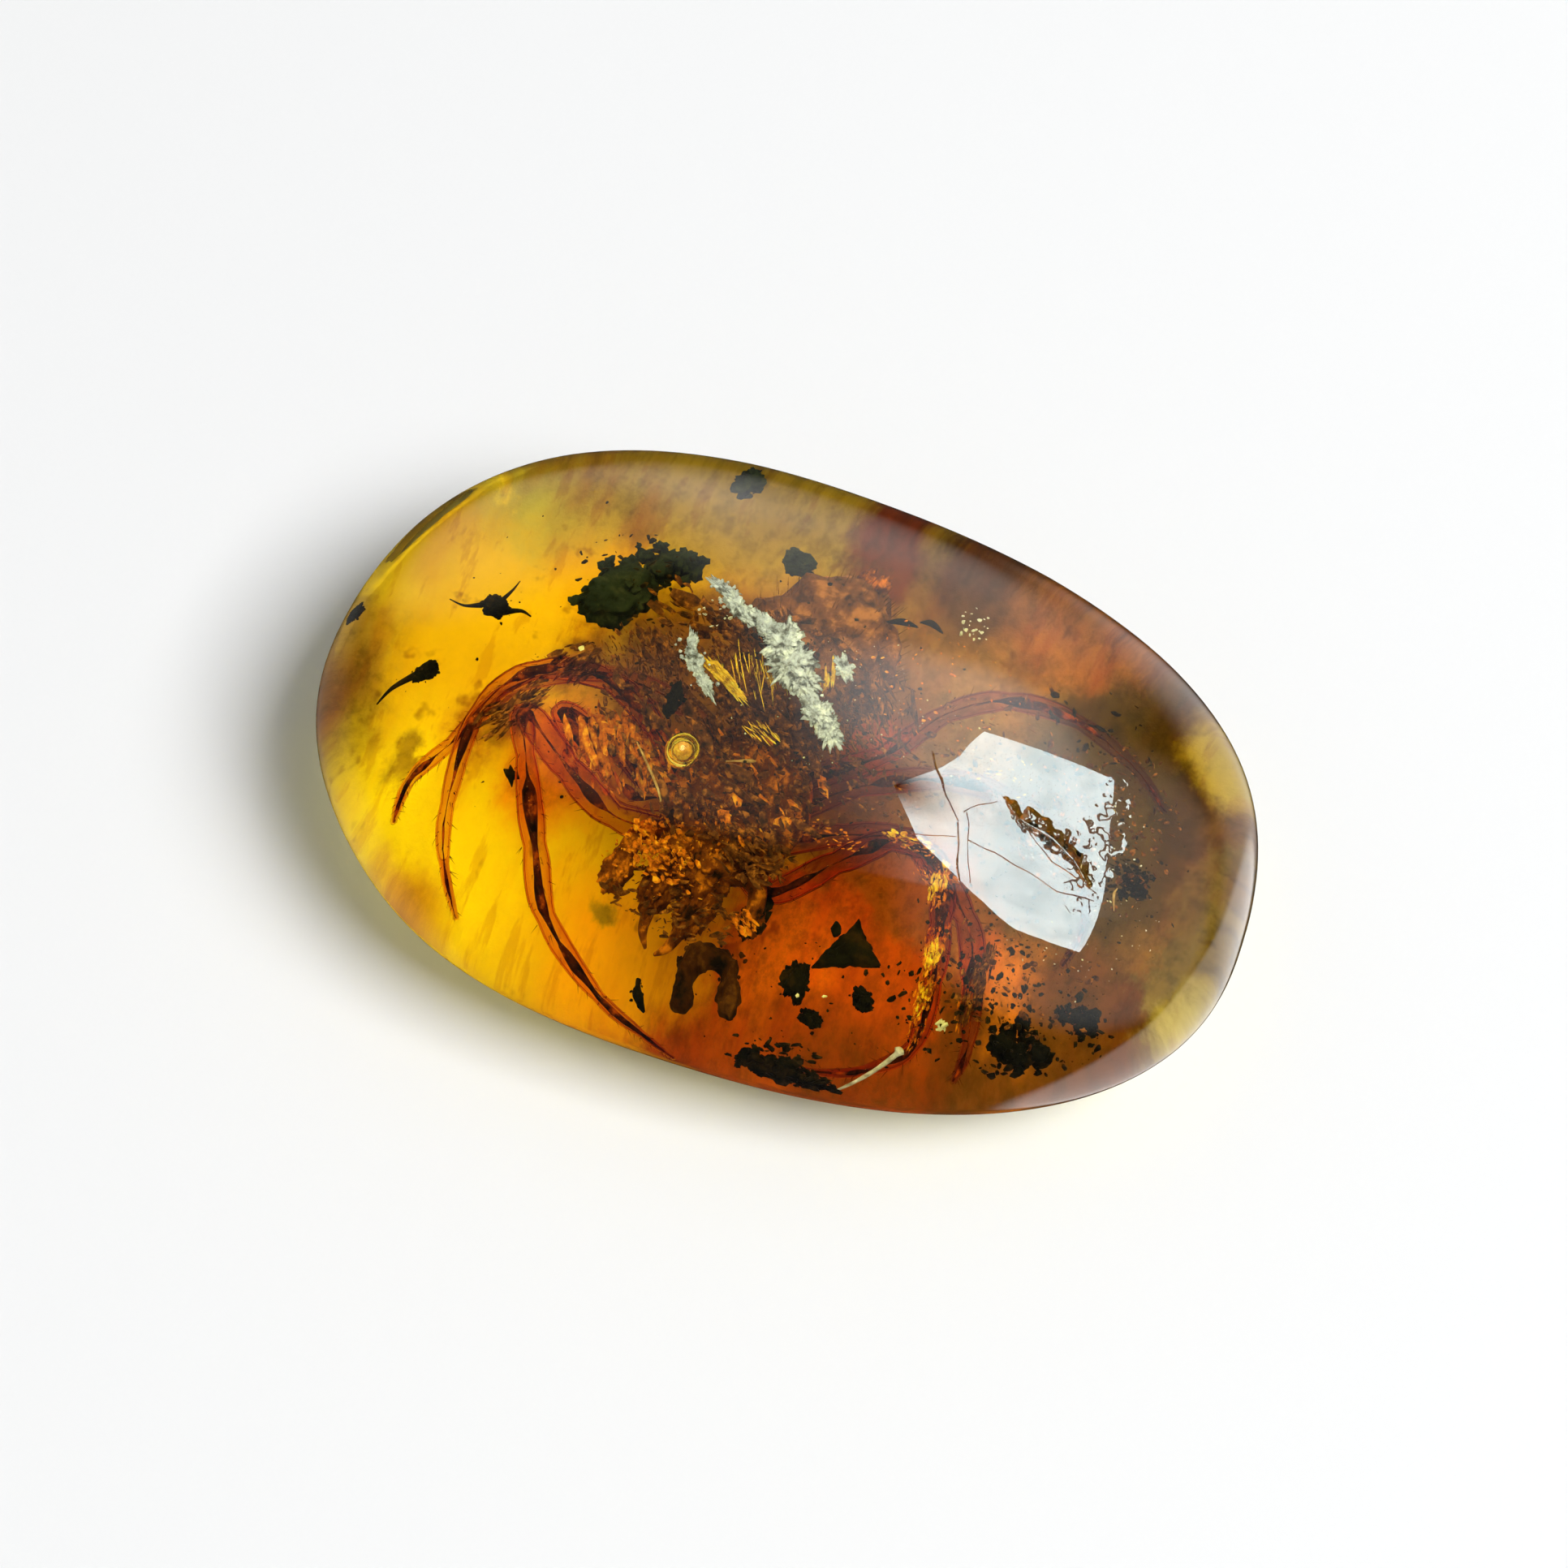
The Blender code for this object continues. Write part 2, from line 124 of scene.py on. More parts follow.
def take_in(bm, piece):
    """Moves all of one bmesh into another."""
    held = bpy.data.meshes.new("held")
    piece.to_mesh(held)
    piece.free()
    bm.from_mesh(held)
    bpy.data.meshes.remove(held)


def add_tube(bm, path, sides=LEG_SIDES, hollow=False):
    """Extrudes a ring along a path of (x, y, z, radius) in mm and closes it; hollow turns it inside out."""
    places = [Vector(point[:3]) * MM for point in path]
    radii = [point[3] * MM for point in path]
    heading = (places[1] - places[0]).normalized()
    tip = (places[-1] - places[-2]).normalized()
    turn = turned_to(heading)
    places = [places[0] - heading * radii[0] * CAP_REACH, *places, places[-1] + tip * radii[-1] * CAP_REACH]
    radii = [radii[0] * CAP_WIDTH, *radii, radii[-1] * CAP_WIDTH]
    tube = bmesh.new()
    stand = Matrix.Translation(places[0]) @ turn @ Matrix.Scale(radii[0], 4)
    bmesh.ops.create_circle(tube, cap_ends=True, segments=sides, radius=1.0, matrix=stand)
    rim = tube.edges[:]
    for count in range(1, len(places)):
        ahead = places[min(count + 1, len(places) - 1)] - places[count - 1]
        if ahead.length > 0.0:
            turn = heading.rotation_difference(ahead).to_matrix().to_4x4() @ turn
            heading = ahead.normalized()
        moved = Matrix.Translation(places[count]) @ turn @ Matrix.Scale(radii[count], 4)
        grown = bmesh.ops.extrude_edge_only(tube, edges=rim)["geom"]
        ring = [item for item in grown if isinstance(item, bmesh.types.BMVert)]
        rim = [item for item in grown if isinstance(item, bmesh.types.BMEdge)]
        bmesh.ops.transform(tube, matrix=moved @ stand.inverted(), verts=ring)
        stand = moved
    bmesh.ops.contextual_create(tube, geom=rim)
    bmesh.ops.recalc_face_normals(tube, faces=tube.faces)
    if hollow:
        bmesh.ops.reverse_faces(tube, faces=tube.faces)
    take_in(bm, tube)


def finished(name, bm, surface, smooth=True):
    """Makes a bmesh an object with its material, its place kept in its mesh."""
    mesh = bpy.data.meshes.new(name)
    bm.to_mesh(mesh)
    bm.free()
    mesh.materials.append(surface)
    if smooth:
        mesh.shade_smooth()
    made = bpy.data.objects.new(name, mesh)
    bpy.context.scene.collection.objects.link(made)
    return made


def feed(node, given):
    """Sets a node's sockets to numbers, colours (tuples) and vectors, or joins them to other sockets."""
    for name, value in given.items():
        if isinstance(value, bpy.types.NodeSocket):
            node.id_data.links.new(value, node.inputs[name])
        else:
            node.inputs[name].default_value = (*value, 1.0) if isinstance(value, tuple) else value


def new_material(name):
    """A material with its node tree and Principled shader."""
    made = bpy.data.materials.new(name)
    made.use_nodes = True
    return made, made.node_tree, made.node_tree.nodes["Principled BSDF"]


def clear_material(name, colour, density, ior, roughness=0.0):
    """A clear solid that takes up light on its way through."""
    made, tree, shader = new_material(name)
    feed(shader, {"Base Color": (1.0, 1.0, 1.0), "Transmission Weight": 1.0})
    feed(shader, {"Roughness": roughness, "IOR": ior})
    taken = tree.nodes.new("ShaderNodeVolumeAbsorption")
    feed(taken, {"Color": colour, "Density": density})
    feed(tree.nodes["Material Output"], {"Volume": taken.outputs["Volume"]})
    return made


shell = clear_material("stained_cuticle", (0.78, 0.26, 0.0), 6400.0, 1.03)
bm = bmesh.new()
for points in LEGS.values():
    path = smooth_path(points, pinch=JOINT_PINCH)
    add_tube(bm, path)
    inner = [(x, y, z, radius - CUTICLE_WALL) for x, y, z, radius in path if radius > HOLLOW_ABOVE]
    add_tube(bm, inner, hollow=True)
legs = finished("spider_legs", bm, shell)
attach(legs, "root")
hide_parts("spider")

# --- The spider's body ---
# Carapace with its raised head and furrows, wrinkled abdomen, jaws with fangs, palps, spinnerets.
# Dark red-brown cuticle, bright orange where it is thin, all grown as one with the legs.
WAIST = Vector((-0.3, 0.1, 5.4)) * MM
HEADING = math.radians(-14.0)
BODY_PARTS = {
    "carapace": ((0.0, -2.5, 0.0), (2.55, 2.75, 1.35)),
    "head": ((0.0, -4.3, 0.25), (1.5, 1.5, 1.15)),
    "abdomen": ((-0.8, 2.85, 0.17), (3.0, 3.4, 2.1)),
    "jaw_left": ((0.75, -5.6, -0.4), (0.65, 1.25, 0.7)),
    "jaw_right": ((-0.75, -5.6, -0.4), (0.65, 1.25, 0.7)),
    "palp_tip_left": ((2.75, -5.3, -0.1), (0.42, 0.55, 0.4)),
    "palp_tip_right": ((-2.25, -6.4, -0.2), (0.5, 0.75, 0.45)),
    "spinneret_left": ((-0.55, 6.25, 0.1), (0.3, 0.6, 0.3)),
    "spinneret_right": ((-1.15, 6.25, 0.1), (0.3, 0.6, 0.3)),
}
BODY_TUBES = (
    ((0.0, -0.8, 0.0, 0.6), (0.0, 0.8, 0.1, 0.6)),
    ((0.7, -6.5, -0.6, 0.25), (0.55, -7.1, -0.9, 0.18), (0.2, -7.4, -1.2, 0.06)),
    ((-0.7, -6.5, -0.6, 0.25), (-0.55, -7.1, -0.9, 0.18), (-0.2, -7.4, -1.2, 0.06)),
    ((1.2, -4.2, 0.0, 0.35), (2.3, -4.4, 0.2, 0.35), (2.75, -5.2, 0.0, 0.32)),
    ((-1.2, -4.4, 0.0, 0.35), (-2.2, -5.1, 0.2, 0.35), (-2.25, -6.2, -0.1, 0.35)),
)
EYES = (
    (0.28, -5.45, 1.0, 0.14), (0.8, -5.2, 0.95, 0.12), (0.35, -5.62, 0.66, 0.11), (0.95, -5.35, 0.6, 0.11),
)
BODY_SEGMENTS, BODY_RINGS = 56, 36
FINE_GRAIN, COARSE_GRAIN = 0.05, 0.24  # relief as shares of a part's size, as the next lines give it
FURROWS, FURROW_DEPTH = 5, 0.07
WRINKLES, WRINKLE_DEPTH = 9.0, 0.05
DENT_DEPTH, SHRUNK = 0.16, 0.03
standing = Matrix.Translation(WAIST) @ Matrix.Rotation(HEADING, 4, "Z")
body, abdomen = bmesh.new(), bmesh.new()
for name, (centre, half_sizes) in BODY_PARTS.items():
    part = bmesh.new()
    bmesh.ops.create_uvsphere(part, u_segments=BODY_SEGMENTS, v_segments=BODY_RINGS, radius=1.0)
    grain = FINE_GRAIN if name in ("carapace", "abdomen") else COARSE_GRAIN
    for vert in part.verts:
        rough = grain * noise.fractal(vert.co * 3.0 + Vector(centre), 0.6, 2.0, 5)
        if name == "carapace":
            angle = math.atan2(vert.co.y, vert.co.x)
            rough -= FURROW_DEPTH * abs(math.cos(angle * FURROWS)) ** 6 * max(vert.co.z, 0.0)
        if name == "abdomen":
            rough -= WRINKLE_DEPTH * abs(math.sin(vert.co.y * WRINKLES + noise.noise(vert.co * 2.0))) ** 4
            rough += DENT_DEPTH * noise.fractal(vert.co * 1.8, 0.7, 2.0, 4) - SHRUNK
        vert.co *= 1.0 + rough
    bmesh.ops.scale(part, vec=Vector(half_sizes) * MM, verts=part.verts)
    bmesh.ops.translate(part, vec=Vector(centre) * MM, verts=part.verts)
    take_in(abdomen if name == "abdomen" else body, part)
for points in BODY_TUBES:
    add_tube(body, smooth_path(points))
for x, y, z, radius in EYES:
    for side in (-1.0, 1.0):
        place = Matrix.Translation(Vector((side * x, y, z)) * MM)
        bmesh.ops.create_icosphere(body, subdivisions=3, radius=radius * MM, matrix=place)
for part in (body, abdomen):
    bmesh.ops.transform(part, matrix=standing, verts=part.verts)


def new_node(kind, given, **settings):
    """The outputs of a new node in the tree at hand, with its settings made and its sockets fed."""
    made = tree.nodes.new("ShaderNode" + kind)
    for setting, value in settings.items():
        setattr(made, setting, value)
    feed(made, given)
    return made.outputs


def rise_between(value, low, high, top=1.0):
    """Rises smoothly from 0 to the top between two values."""
    ends = {"Value": value, "From Min": low, "From Max": high, "To Max": top}
    return new_node("MapRange", ends, interpolation_type="SMOOTHSTEP")["Result"]


def noise_node(place, scale, detail, roughness):
    """A noise over a place."""
    return new_node("TexNoise", {"Vector": place, "Scale": scale, "Detail": detail, "Roughness": roughness})


def blended(share, first, second, blend="MIX"):
    """Goes from one colour to another."""
    ends = {"Factor": share, "A": first, "B": second}
    return new_node("Mix", ends, data_type="RGBA", blend_type=blend)["Result"]


# Mottling: three colours that wander over a surface, and a fine grain that stands out of it.
GRAIN_DEPTH = 0.1 * MM
mottling = tree = bpy.data.node_groups.new("mottling", "ShaderNodeTree")
for label, direction, kind in (
    ("Dark", "INPUT", "Color"), ("Middle", "INPUT", "Color"), ("Light", "INPUT", "Color"),
    ("Scale", "INPUT", "Float"), ("Relief", "INPUT", "Float"), ("Grain Scale", "INPUT", "Float"),
    ("Color", "OUTPUT", "Color"), ("Normal", "OUTPUT", "Vector"),
):
    mottling.interface.new_socket(label, in_out=direction, socket_type="NodeSocket" + kind)
given = tree.nodes.new("NodeGroupInput").outputs
where = new_node("TexCoord", {})["Object"]
patches = noise_node(where, given["Scale"], 6.0, 0.62)["Fac"]
colour = blended(rise_between(patches, 0.34, 0.5), given["Dark"], given["Middle"])
colour = blended(rise_between(patches, 0.5, 0.66), colour, given["Light"])
grain = noise_node(where, given["Grain Scale"], 4.0, 0.5)["Fac"]
bump = new_node("Bump", {"Strength": given["Relief"], "Distance": GRAIN_DEPTH, "Height": grain})
feed(tree.nodes.new("NodeGroupOutput"), {"Color": colour, "Normal": bump["Normal"]})


def mottled_material(name, colours, scale, roughness=0.5, relief=0.3, grain_scale=3600.0, gloss=0.06):
    """An opaque rough surface with the mottling; sealed in resin, most things lose their gloss."""
    made, tree, shader = new_material(name)
    group = tree.nodes.new("ShaderNodeGroup")
    group.node_tree = mottling
    feed(group, dict(zip(("Dark", "Middle", "Light"), colours)))
    feed(group, {"Scale": scale, "Relief": relief, "Grain Scale": grain_scale})
    feed(shader, {"Base Color": group.outputs["Color"], "Normal": group.outputs["Normal"]})
    feed(shader, {"Roughness": roughness, "Specular IOR Level": gloss})
    return made


cuticle = mottled_material(
    "brown_cuticle", ((0.016, 0.005, 0.002), (0.17, 0.042, 0.005), (0.75, 0.23, 0.015)), 1500.0, relief=1.0
)
hide = mottled_material(
    "abdomen_hide", ((0.05, 0.018, 0.01), (0.17, 0.06, 0.03), (0.42, 0.17, 0.08)), 1500.0, relief=1.0
)
for made in (finished("spider_body", body, cuticle), finished("spider_abdomen", abdomen, hide)):
    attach(made, "root")
    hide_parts("spider")

# --- What is left in the legs ---
# Dried muscle and blood, a dark red-brown crumbling thread in each leg, thick towards the toes.
# It shrank away from the cuticle, and the resin filled the gap.
LEAST_SHARE, MOST_SHARE = 0.08, 0.66  # of the room in the leg
FIRST_SHARE, SHARE_WANDER, TOE_SHARE = 0.18, 0.95, 0.5
LEAST_ROOM = 0.03  # mm
CRUMBLE = 0.035 * MM
tissue = mottled_material(
    "dried_tissue", ((0.008, 0.003, 0.002), (0.06, 0.012, 0.003), (0.5, 0.12, 0.008)), 1300.0, relief=1.0
)
bm = bmesh.new()
for points in LEGS.values():
    path = []
    route = smooth_path(points, pinch=JOINT_PINCH)
    for count, (x, y, z, radius) in enumerate(route):
        share = FIRST_SHARE + SHARE_WANDER * noise.noise(Vector((x, y, z)) * 0.8)
        share = min(max(share + TOE_SHARE * (count / len(route)) ** 2, LEAST_SHARE), MOST_SHARE)
        path.append((x, y, z, share * max(radius - CUTICLE_WALL, LEAST_ROOM)))
    add_tube(bm, path, sides=10)
noise.seed_set(10)
for vert in bm.verts:
    vert.co += noise.noise_vector(vert.co * 3000.0) * CRUMBLE
bmesh.ops.recalc_face_normals(bm, faces=bm.faces)
threads = finished("spider_leg_tissue", bm, tissue)
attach(threads, "root")
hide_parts("spider")

# --- The spider's hairs ---
# Fine bristles that stand off the legs and body and lean towards the tips, stiff and dark.
# They are grown from the cuticle, as one with the spider.
HAIR_ROOT = 0.015 * MM
LEG_HAIR, BODY_HAIR = (0.12, 0.36), (0.25, 0.6)  # shortest and longest, in mm
HAIRS_A_STEP = 2
BODY_HAIRS = 500


def add_hair(bm, root, way, length):
    """One bristle, a fine three-sided cone."""
    place = Matrix.Translation(root + way.normalized() * length / 2.0) @ turned_to(way)
    bmesh.ops.create_cone(
        bm, cap_ends=True, segments=3, radius1=HAIR_ROOT, radius2=HAIR_ROOT / 5.0, depth=length, matrix=place
    )


random.seed(11)
all_hairs = bmesh.new()
for points in LEGS.values():
    bm = bmesh.new()
    path = smooth_path(points)
    for start, end in zip(path, path[1:]):
        root, ahead = Vector(start[:3]) * MM, (Vector(end[:3]) - Vector(start[:3])).normalized()
        for _ in range(HAIRS_A_STEP):
            out = ahead.orthogonal().normalized()
            out.rotate(Matrix.Rotation(random.uniform(0.0, math.tau), 3, ahead))
            way = out + ahead * random.uniform(0.3, 1.6)
            add_hair(bm, root + out * start[3] * MM * 0.9, way, random.uniform(*LEG_HAIR) * MM)
    take_in(all_hairs, bm)
bm = bmesh.new()
for _ in range(BODY_HAIRS):
    centre, half_sizes = BODY_PARTS[random.choice(("carapace", "abdomen", "abdomen", "head"))]
    out = Vector((random.gauss(0, 1), random.gauss(0, 1), abs(random.gauss(0, 1)))).normalized()
    root = Vector([(c + o * h) * MM for c, o, h in zip(centre, out, half_sizes)])
    way = standing.to_3x3() @ (out + Vector((0.0, 0.7, 0.2)))
    add_hair(bm, standing @ root, way, random.uniform(*BODY_HAIR) * MM)
take_in(all_hairs, bm)
DARK = ((0.02, 0.008, 0.004), (0.05, 0.018, 0.007), (0.09, 0.03, 0.01))
hairs = finished("spider_hairs", all_hairs, mottled_material("dark_bristle", DARK, 900.0), smooth=False)
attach(hairs, "root")
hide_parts("spider")

# --- Silver crust ---
# Flaky crust with a silver-white skin over the abdomen, broken into ragged plates and crumbs.
# It formed where the resin came away from the body.
CRUST = {
    "silver_crust": (
        ((-3.9, 3.3, 11.0), (0.5, 0.16, 0.12), -20), ((-3.2, 2.8, 11.0), (0.55, 0.24, 0.12), -42),
        ((-2.5, 2.5, 11.0), (0.55, 0.26, 0.12), -10), ((-1.8, 2.3, 11.1), (0.55, 0.28, 0.14), -30),
        ((-1.0, 1.9, 11.1), (0.6, 0.55, 0.14), -50), ((-0.4, 1.3, 11.1), (0.7, 0.66, 0.15), -60),
        ((0.1, 0.8, 11.1), (0.6, 0.45, 0.14), -30), ((0.6, 0.2, 11.1), (0.5, 0.22, 0.13), -52),
        ((1.2, -0.3, 11.1), (0.55, 0.36, 0.13), -40), ((1.8, -0.7, 11.0), (0.62, 0.3, 0.12), -58),
    ),
    "silver_flake_left": (
        ((-4.0, 0.6, 11.0), (0.55, 0.16, 0.1), -70), ((-3.6, 0.0, 11.0), (0.55, 0.2, 0.1), -52),
        ((-3.0, -0.6, 11.0), (0.5, 0.16, 0.1), -45),
    ),
    "silver_flake_small": (((1.4, 1.7, 11.1), (0.42, 0.2, 0.1), -45),),
}
PLATE_CRUMBS = 5
CRUMB_REACH = (0.9, 1.3)  # shares of a plate's half length
CRUMB_SIZES = (0.03, 0.09)  # mm


def ragged_lump(centre, half_sizes, turn, subdivisions=5, rag=0.35, pitch=1.6, roughness=0.5):
    """A closed lump with a broken, wandering surface, placed and turned; sizes in mm."""
    lump = bmesh.new()
    bmesh.ops.create_icosphere(lump, subdivisions=subdivisions, radius=1.0)
    seed = Vector(centre) * 3.1
    for vert in lump.verts:
        vert.co *= 1.0 + rag * noise.fractal(vert.co * pitch + seed, roughness, 2.1, 6)
    bmesh.ops.scale(lump, vec=Vector(half_sizes) * MM, verts=lump.verts)
    place = Matrix.Translation(Vector(centre) * MM) @ Matrix.Rotation(math.radians(turn), 4, "Z")
    bmesh.ops.transform(lump, matrix=place, verts=lump.verts)
    return lump


silver = mottled_material(
    "silver_skin", ((0.1, 0.11, 0.1), (0.58, 0.66, 0.74), (0.9, 1.0, 1.0)), 2400.0,
    roughness=0.35, relief=1.0, grain_scale=5000.0, gloss=0.5,
)
random.seed(23)
for name, plates in CRUST.items():
    bm = bmesh.new()
    for centre, half_sizes, turn in plates:
        take_in(bm, ragged_lump(centre, half_sizes, turn, rag=0.85, pitch=1.9, roughness=0.45))
        for _ in range(PLATE_CRUMBS):
            reach = random.uniform(*CRUMB_REACH) * half_sizes[0]
            way = random.uniform(0.0, math.tau)
            crumb = (centre[0] + reach * math.cos(way), centre[1] + reach * math.sin(way) * 0.5, centre[2])
            size = random.uniform(*CRUMB_SIZES)
            take_in(bm, ragged_lump(crumb, (size, size, size * 0.7), 0.0, subdivisions=2))
    crust = finished(name + "_plates", bm, silver)
    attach(crust, "root")
    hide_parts(name)

# --- Dark litter ---
# Scraps of bark, soil and leaf from the forest floor, dry and black-brown, caught in the resin.
# Some trail fibres, and soil holds together in clots of many grains.
LITTER = {
    "bark_lump": ((-7.8, 3.2, 5.6), (1.3, 1.1, 0.8), 20),
    "bark_shred": ((-6.8, 5.0, 5.2), (1.3, 0.6, 0.45), 10),
    "tailed_crumb": ((-11.6, 1.5, 5.6), (0.52, 0.38, 0.34), -15),
    "comma_crumb": ((-13.0, -1.3, 5.2), (0.45, 0.29, 0.28), 40),
    "top_chip": ((-2.4, 6.4, 5.4), (0.6, 0.4, 0.3), -25),
    "leaf_chip": ((4.7, -5.5, 5.4), (1.1, 1.0, 0.3), 30),
    "leaf_scrap": ((3.2, -6.9, 5.0), (0.42, 0.66, 0.3), 10),
    "seed_speck": ((5.7, -7.1, 5.6), (0.42, 0.3, 0.25), -35),
    "soil_clot": ((11.3, -6.9, 5.3), (1.1, 0.75, 0.45), -25),
    "soil_clot_small": ((12.8, -5.1, 5.3), (0.85, 0.6, 0.4), -35),
    "soil_cluster": ((12.8, -0.4, 6.0), (0.6, 0.55, 0.4), 0),
    "edge_clot": ((3.3, -10.1, 4.55), (1.25, 0.44, 0.42), -3),
    "edge_speck": ((-16.5, 0.3, 5.0), (0.4, 0.28, 0.28), 60),
    "small_chip": ((4.2, -8.1, 5.3), (0.4, 0.25, 0.22), -10),
    "drop_speck": ((-4.1, -0.6, 8.0), (0.26, 0.62, 0.26), 8),
    "deep_chip": ((-5.5, 8.7, 4.6), (0.45, 0.55, 0.3), 15),
}
CLOTS = ("soil_clot", "soil_clot_small", "soil_cluster", "edge_clot", "bark_shred")
CLOT_GRAINS = 22
CLOT_SPREAD = 0.38
GRAIN_SHARES, CRUMB_SHARES = (0.12, 0.36), (0.05, 0.24)  # of a scrap's half length
RAGS = {"leaf_chip": 0.22, "bark_lump": 0.38, "tailed_crumb": 0.4, "comma_crumb": 0.35}
LITTER_CRUMBS, LEAF_CRUMBS = 18, 3
LEAF_TURN = math.radians(-10.0)  # the leaf chip is three-cornered, leans and is longest at its point
LEAF_POINT = math.radians(232.0)
LEAF_LEAN, LEAF_SIZE, LEAF_STRETCH = 0.22, 0.53, 0.08
TAILS = {
    "tailed_crumb": (
        ((-11.2, 1.4, 5.6, 0.14), (-10.7, 1.6, 5.6, 0.07), (-10.3, 1.5, 5.6, 0.03)),
        ((-12.1, 1.4, 5.6, 0.12), (-12.7, 1.2, 5.6, 0.05), (-13.3, 1.3, 5.6, 0.02)),
        ((-11.5, 1.8, 5.6, 0.1), (-11.3, 2.3, 5.6, 0.05), (-11.2, 2.7, 5.6, 0.02)),
    ),
    "comma_crumb": (((-13.3, -1.5, 5.2, 0.14), (-13.9, -2.1, 5.1, 0.08), (-14.2, -2.7, 5.0, 0.03)),),
}
BENT_SCRAPS = {
    "arch_scrap": (
        (-0.4, -8.7, 4.8, 0.4), (-0.4, -7.5, 5.1, 0.46), (0.5, -7.2, 5.2, 0.4), (1.1, -7.6, 5.1, 0.4),
        (1.2, -8.6, 4.8, 0.32),
    ),
    "crescent_scrap": ((-1.9, -8.8, 5.1, 0.08), (-1.9, -9.2, 5.0, 0.2), (-1.6, -9.6, 4.9, 0.08)),
}
RUFFLES = ((1200.0, 0.28 * MM), (4000.0, 0.11 * MM))
BENT_CRUMB_SHARES = (0.1, 0.45)
GREY_BARK = ("bark_lump", "bark_shred", "top_chip", "deep_chip")
dead_litter, bark, leaf = (
    mottled_material(name, colours, scale, roughness=0.8, relief=0.9)
    for name, colours, scale in (
        ("dead_litter", ((0.002, 0.002, 0.002), (0.006, 0.006, 0.005), (0.024, 0.014, 0.006)), 900.0),
        ("grey_bark", ((0.004, 0.006, 0.008), (0.016, 0.026, 0.04), (0.04, 0.05, 0.06)), 900.0),
        ("brown_leaf", ((0.006, 0.003, 0.002), (0.04, 0.012, 0.003), (0.11, 0.04, 0.008)), 1100.0),
    )
)


def any_way():
    """A random direction."""
    return Vector([random.gauss(0, 1) for _ in range(3)]).normalized()


def add_crumb(bm, place, size, width=0.7, height=0.5, **form):
    """Adds a crumb of some half length in mm, turned any way."""
    sizes = (size, size * width, size * height)
    take_in(bm, ragged_lump(place, sizes, random.uniform(0.0, 360.0), rag=0.6, **form))


random.seed(37)
for name, (centre, half_sizes, turn) in LITTER.items():
    middle, longest = Vector(centre), max(half_sizes)
    spread = Matrix.Rotation(math.radians(turn), 3, "Z")
    if name in CLOTS:
        bm = bmesh.new()
        for _ in range(CLOT_GRAINS):
            off = Vector([random.gauss(0.0, CLOT_SPREAD) * half for half in half_sizes])
            grain = random.uniform(*GRAIN_SHARES) * longest
            add_crumb(bm, middle + spread @ off, grain, 0.8, 0.6, subdivisions=3, roughness=0.7)
    else:
        bm = ragged_lump(centre, half_sizes, turn, rag=RAGS.get(name, 0.5), pitch=1.1, roughness=0.75)
    if name == "leaf_chip":
        for vert in bm.verts:
            off = vert.co - middle * MM
            angle = math.atan2(off.y, off.x)
            far = LEAF_SIZE * (1.0 + LEAF_STRETCH * math.cos(angle - LEAF_POINT))
            far /= math.cos((angle - LEAF_TURN) % (math.tau / 3.0) - math.pi / 3.0)
            vert.co = middle * MM + Vector(((off.x + LEAF_LEAN * off.y) * far, off.y * far, off.z))
    for _ in range(LEAF_CRUMBS if name == "leaf_chip" else LITTER_CRUMBS):
        way = any_way() * random.uniform(0.75, 1.25)
        off = spread @ Vector([w * half for w, half in zip(way, half_sizes)])
        add_crumb(bm, middle + off, random.uniform(*CRUMB_SHARES) * longest, subdivisions=2)
    for path in TAILS.get(name, ()):
        add_tube(bm, smooth_path(path), sides=8)
    scrap = finished(name + "_litter", bm, bark if name in GREY_BARK else dead_litter)
    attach(scrap, "root")
    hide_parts(name)
noise.seed_set(10)
for name, points in BENT_SCRAPS.items():
    bm = bmesh.new()
    add_tube(bm, smooth_path(points))
    bmesh.ops.subdivide_edges(bm, edges=bm.edges, cuts=1, use_grid_fill=True)
    for vert in bm.verts:
        for pitch, depth in RUFFLES:
            vert.co += noise.noise_vector(vert.co * pitch) * depth
    bmesh.ops.recalc_face_normals(bm, faces=bm.faces)
    for _ in range(LITTER_CRUMBS):
        *place, radius = random.choice(smooth_path(points))
        off = Vector((random.uniform(-1.2, 1.2), random.uniform(-1.2, 1.2), 0.0)) * radius
        add_crumb(bm, Vector(place) + off, random.uniform(*BENT_CRUMB_SHARES) * radius, subdivisions=2)
    scrap = finished(name + "_litter", bm, leaf if name == "arch_scrap" else dead_litter)
    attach(scrap, "root")
    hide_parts(name)

# --- Pale needle ---
# A dry straw-coloured fibre with a knob at one end, close under the front skin of the stone.
# It is stiff plant matter, held by the resin alone.
NEEDLE = (
    (5.9, -10.1, 4.3, 0.05), (6.5, -9.75, 4.85, 0.08), (7.1, -9.3, 5.4, 0.09), (7.6, -8.9, 5.95, 0.11),
    (7.7, -8.8, 6.1, 0.2),
)
STRAW = ((0.4, 0.34, 0.28), (0.7, 0.66, 0.6), (0.95, 0.93, 0.9))
bm = bmesh.new()
add_tube(bm, smooth_path(NEEDLE, pinch=0.15), sides=12)
needle = finished("pale_needle_fibre", bm, mottled_material("dry_straw", STRAW, 2200.0, relief=0.6))
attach(needle, "root")
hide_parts("pale_needle")

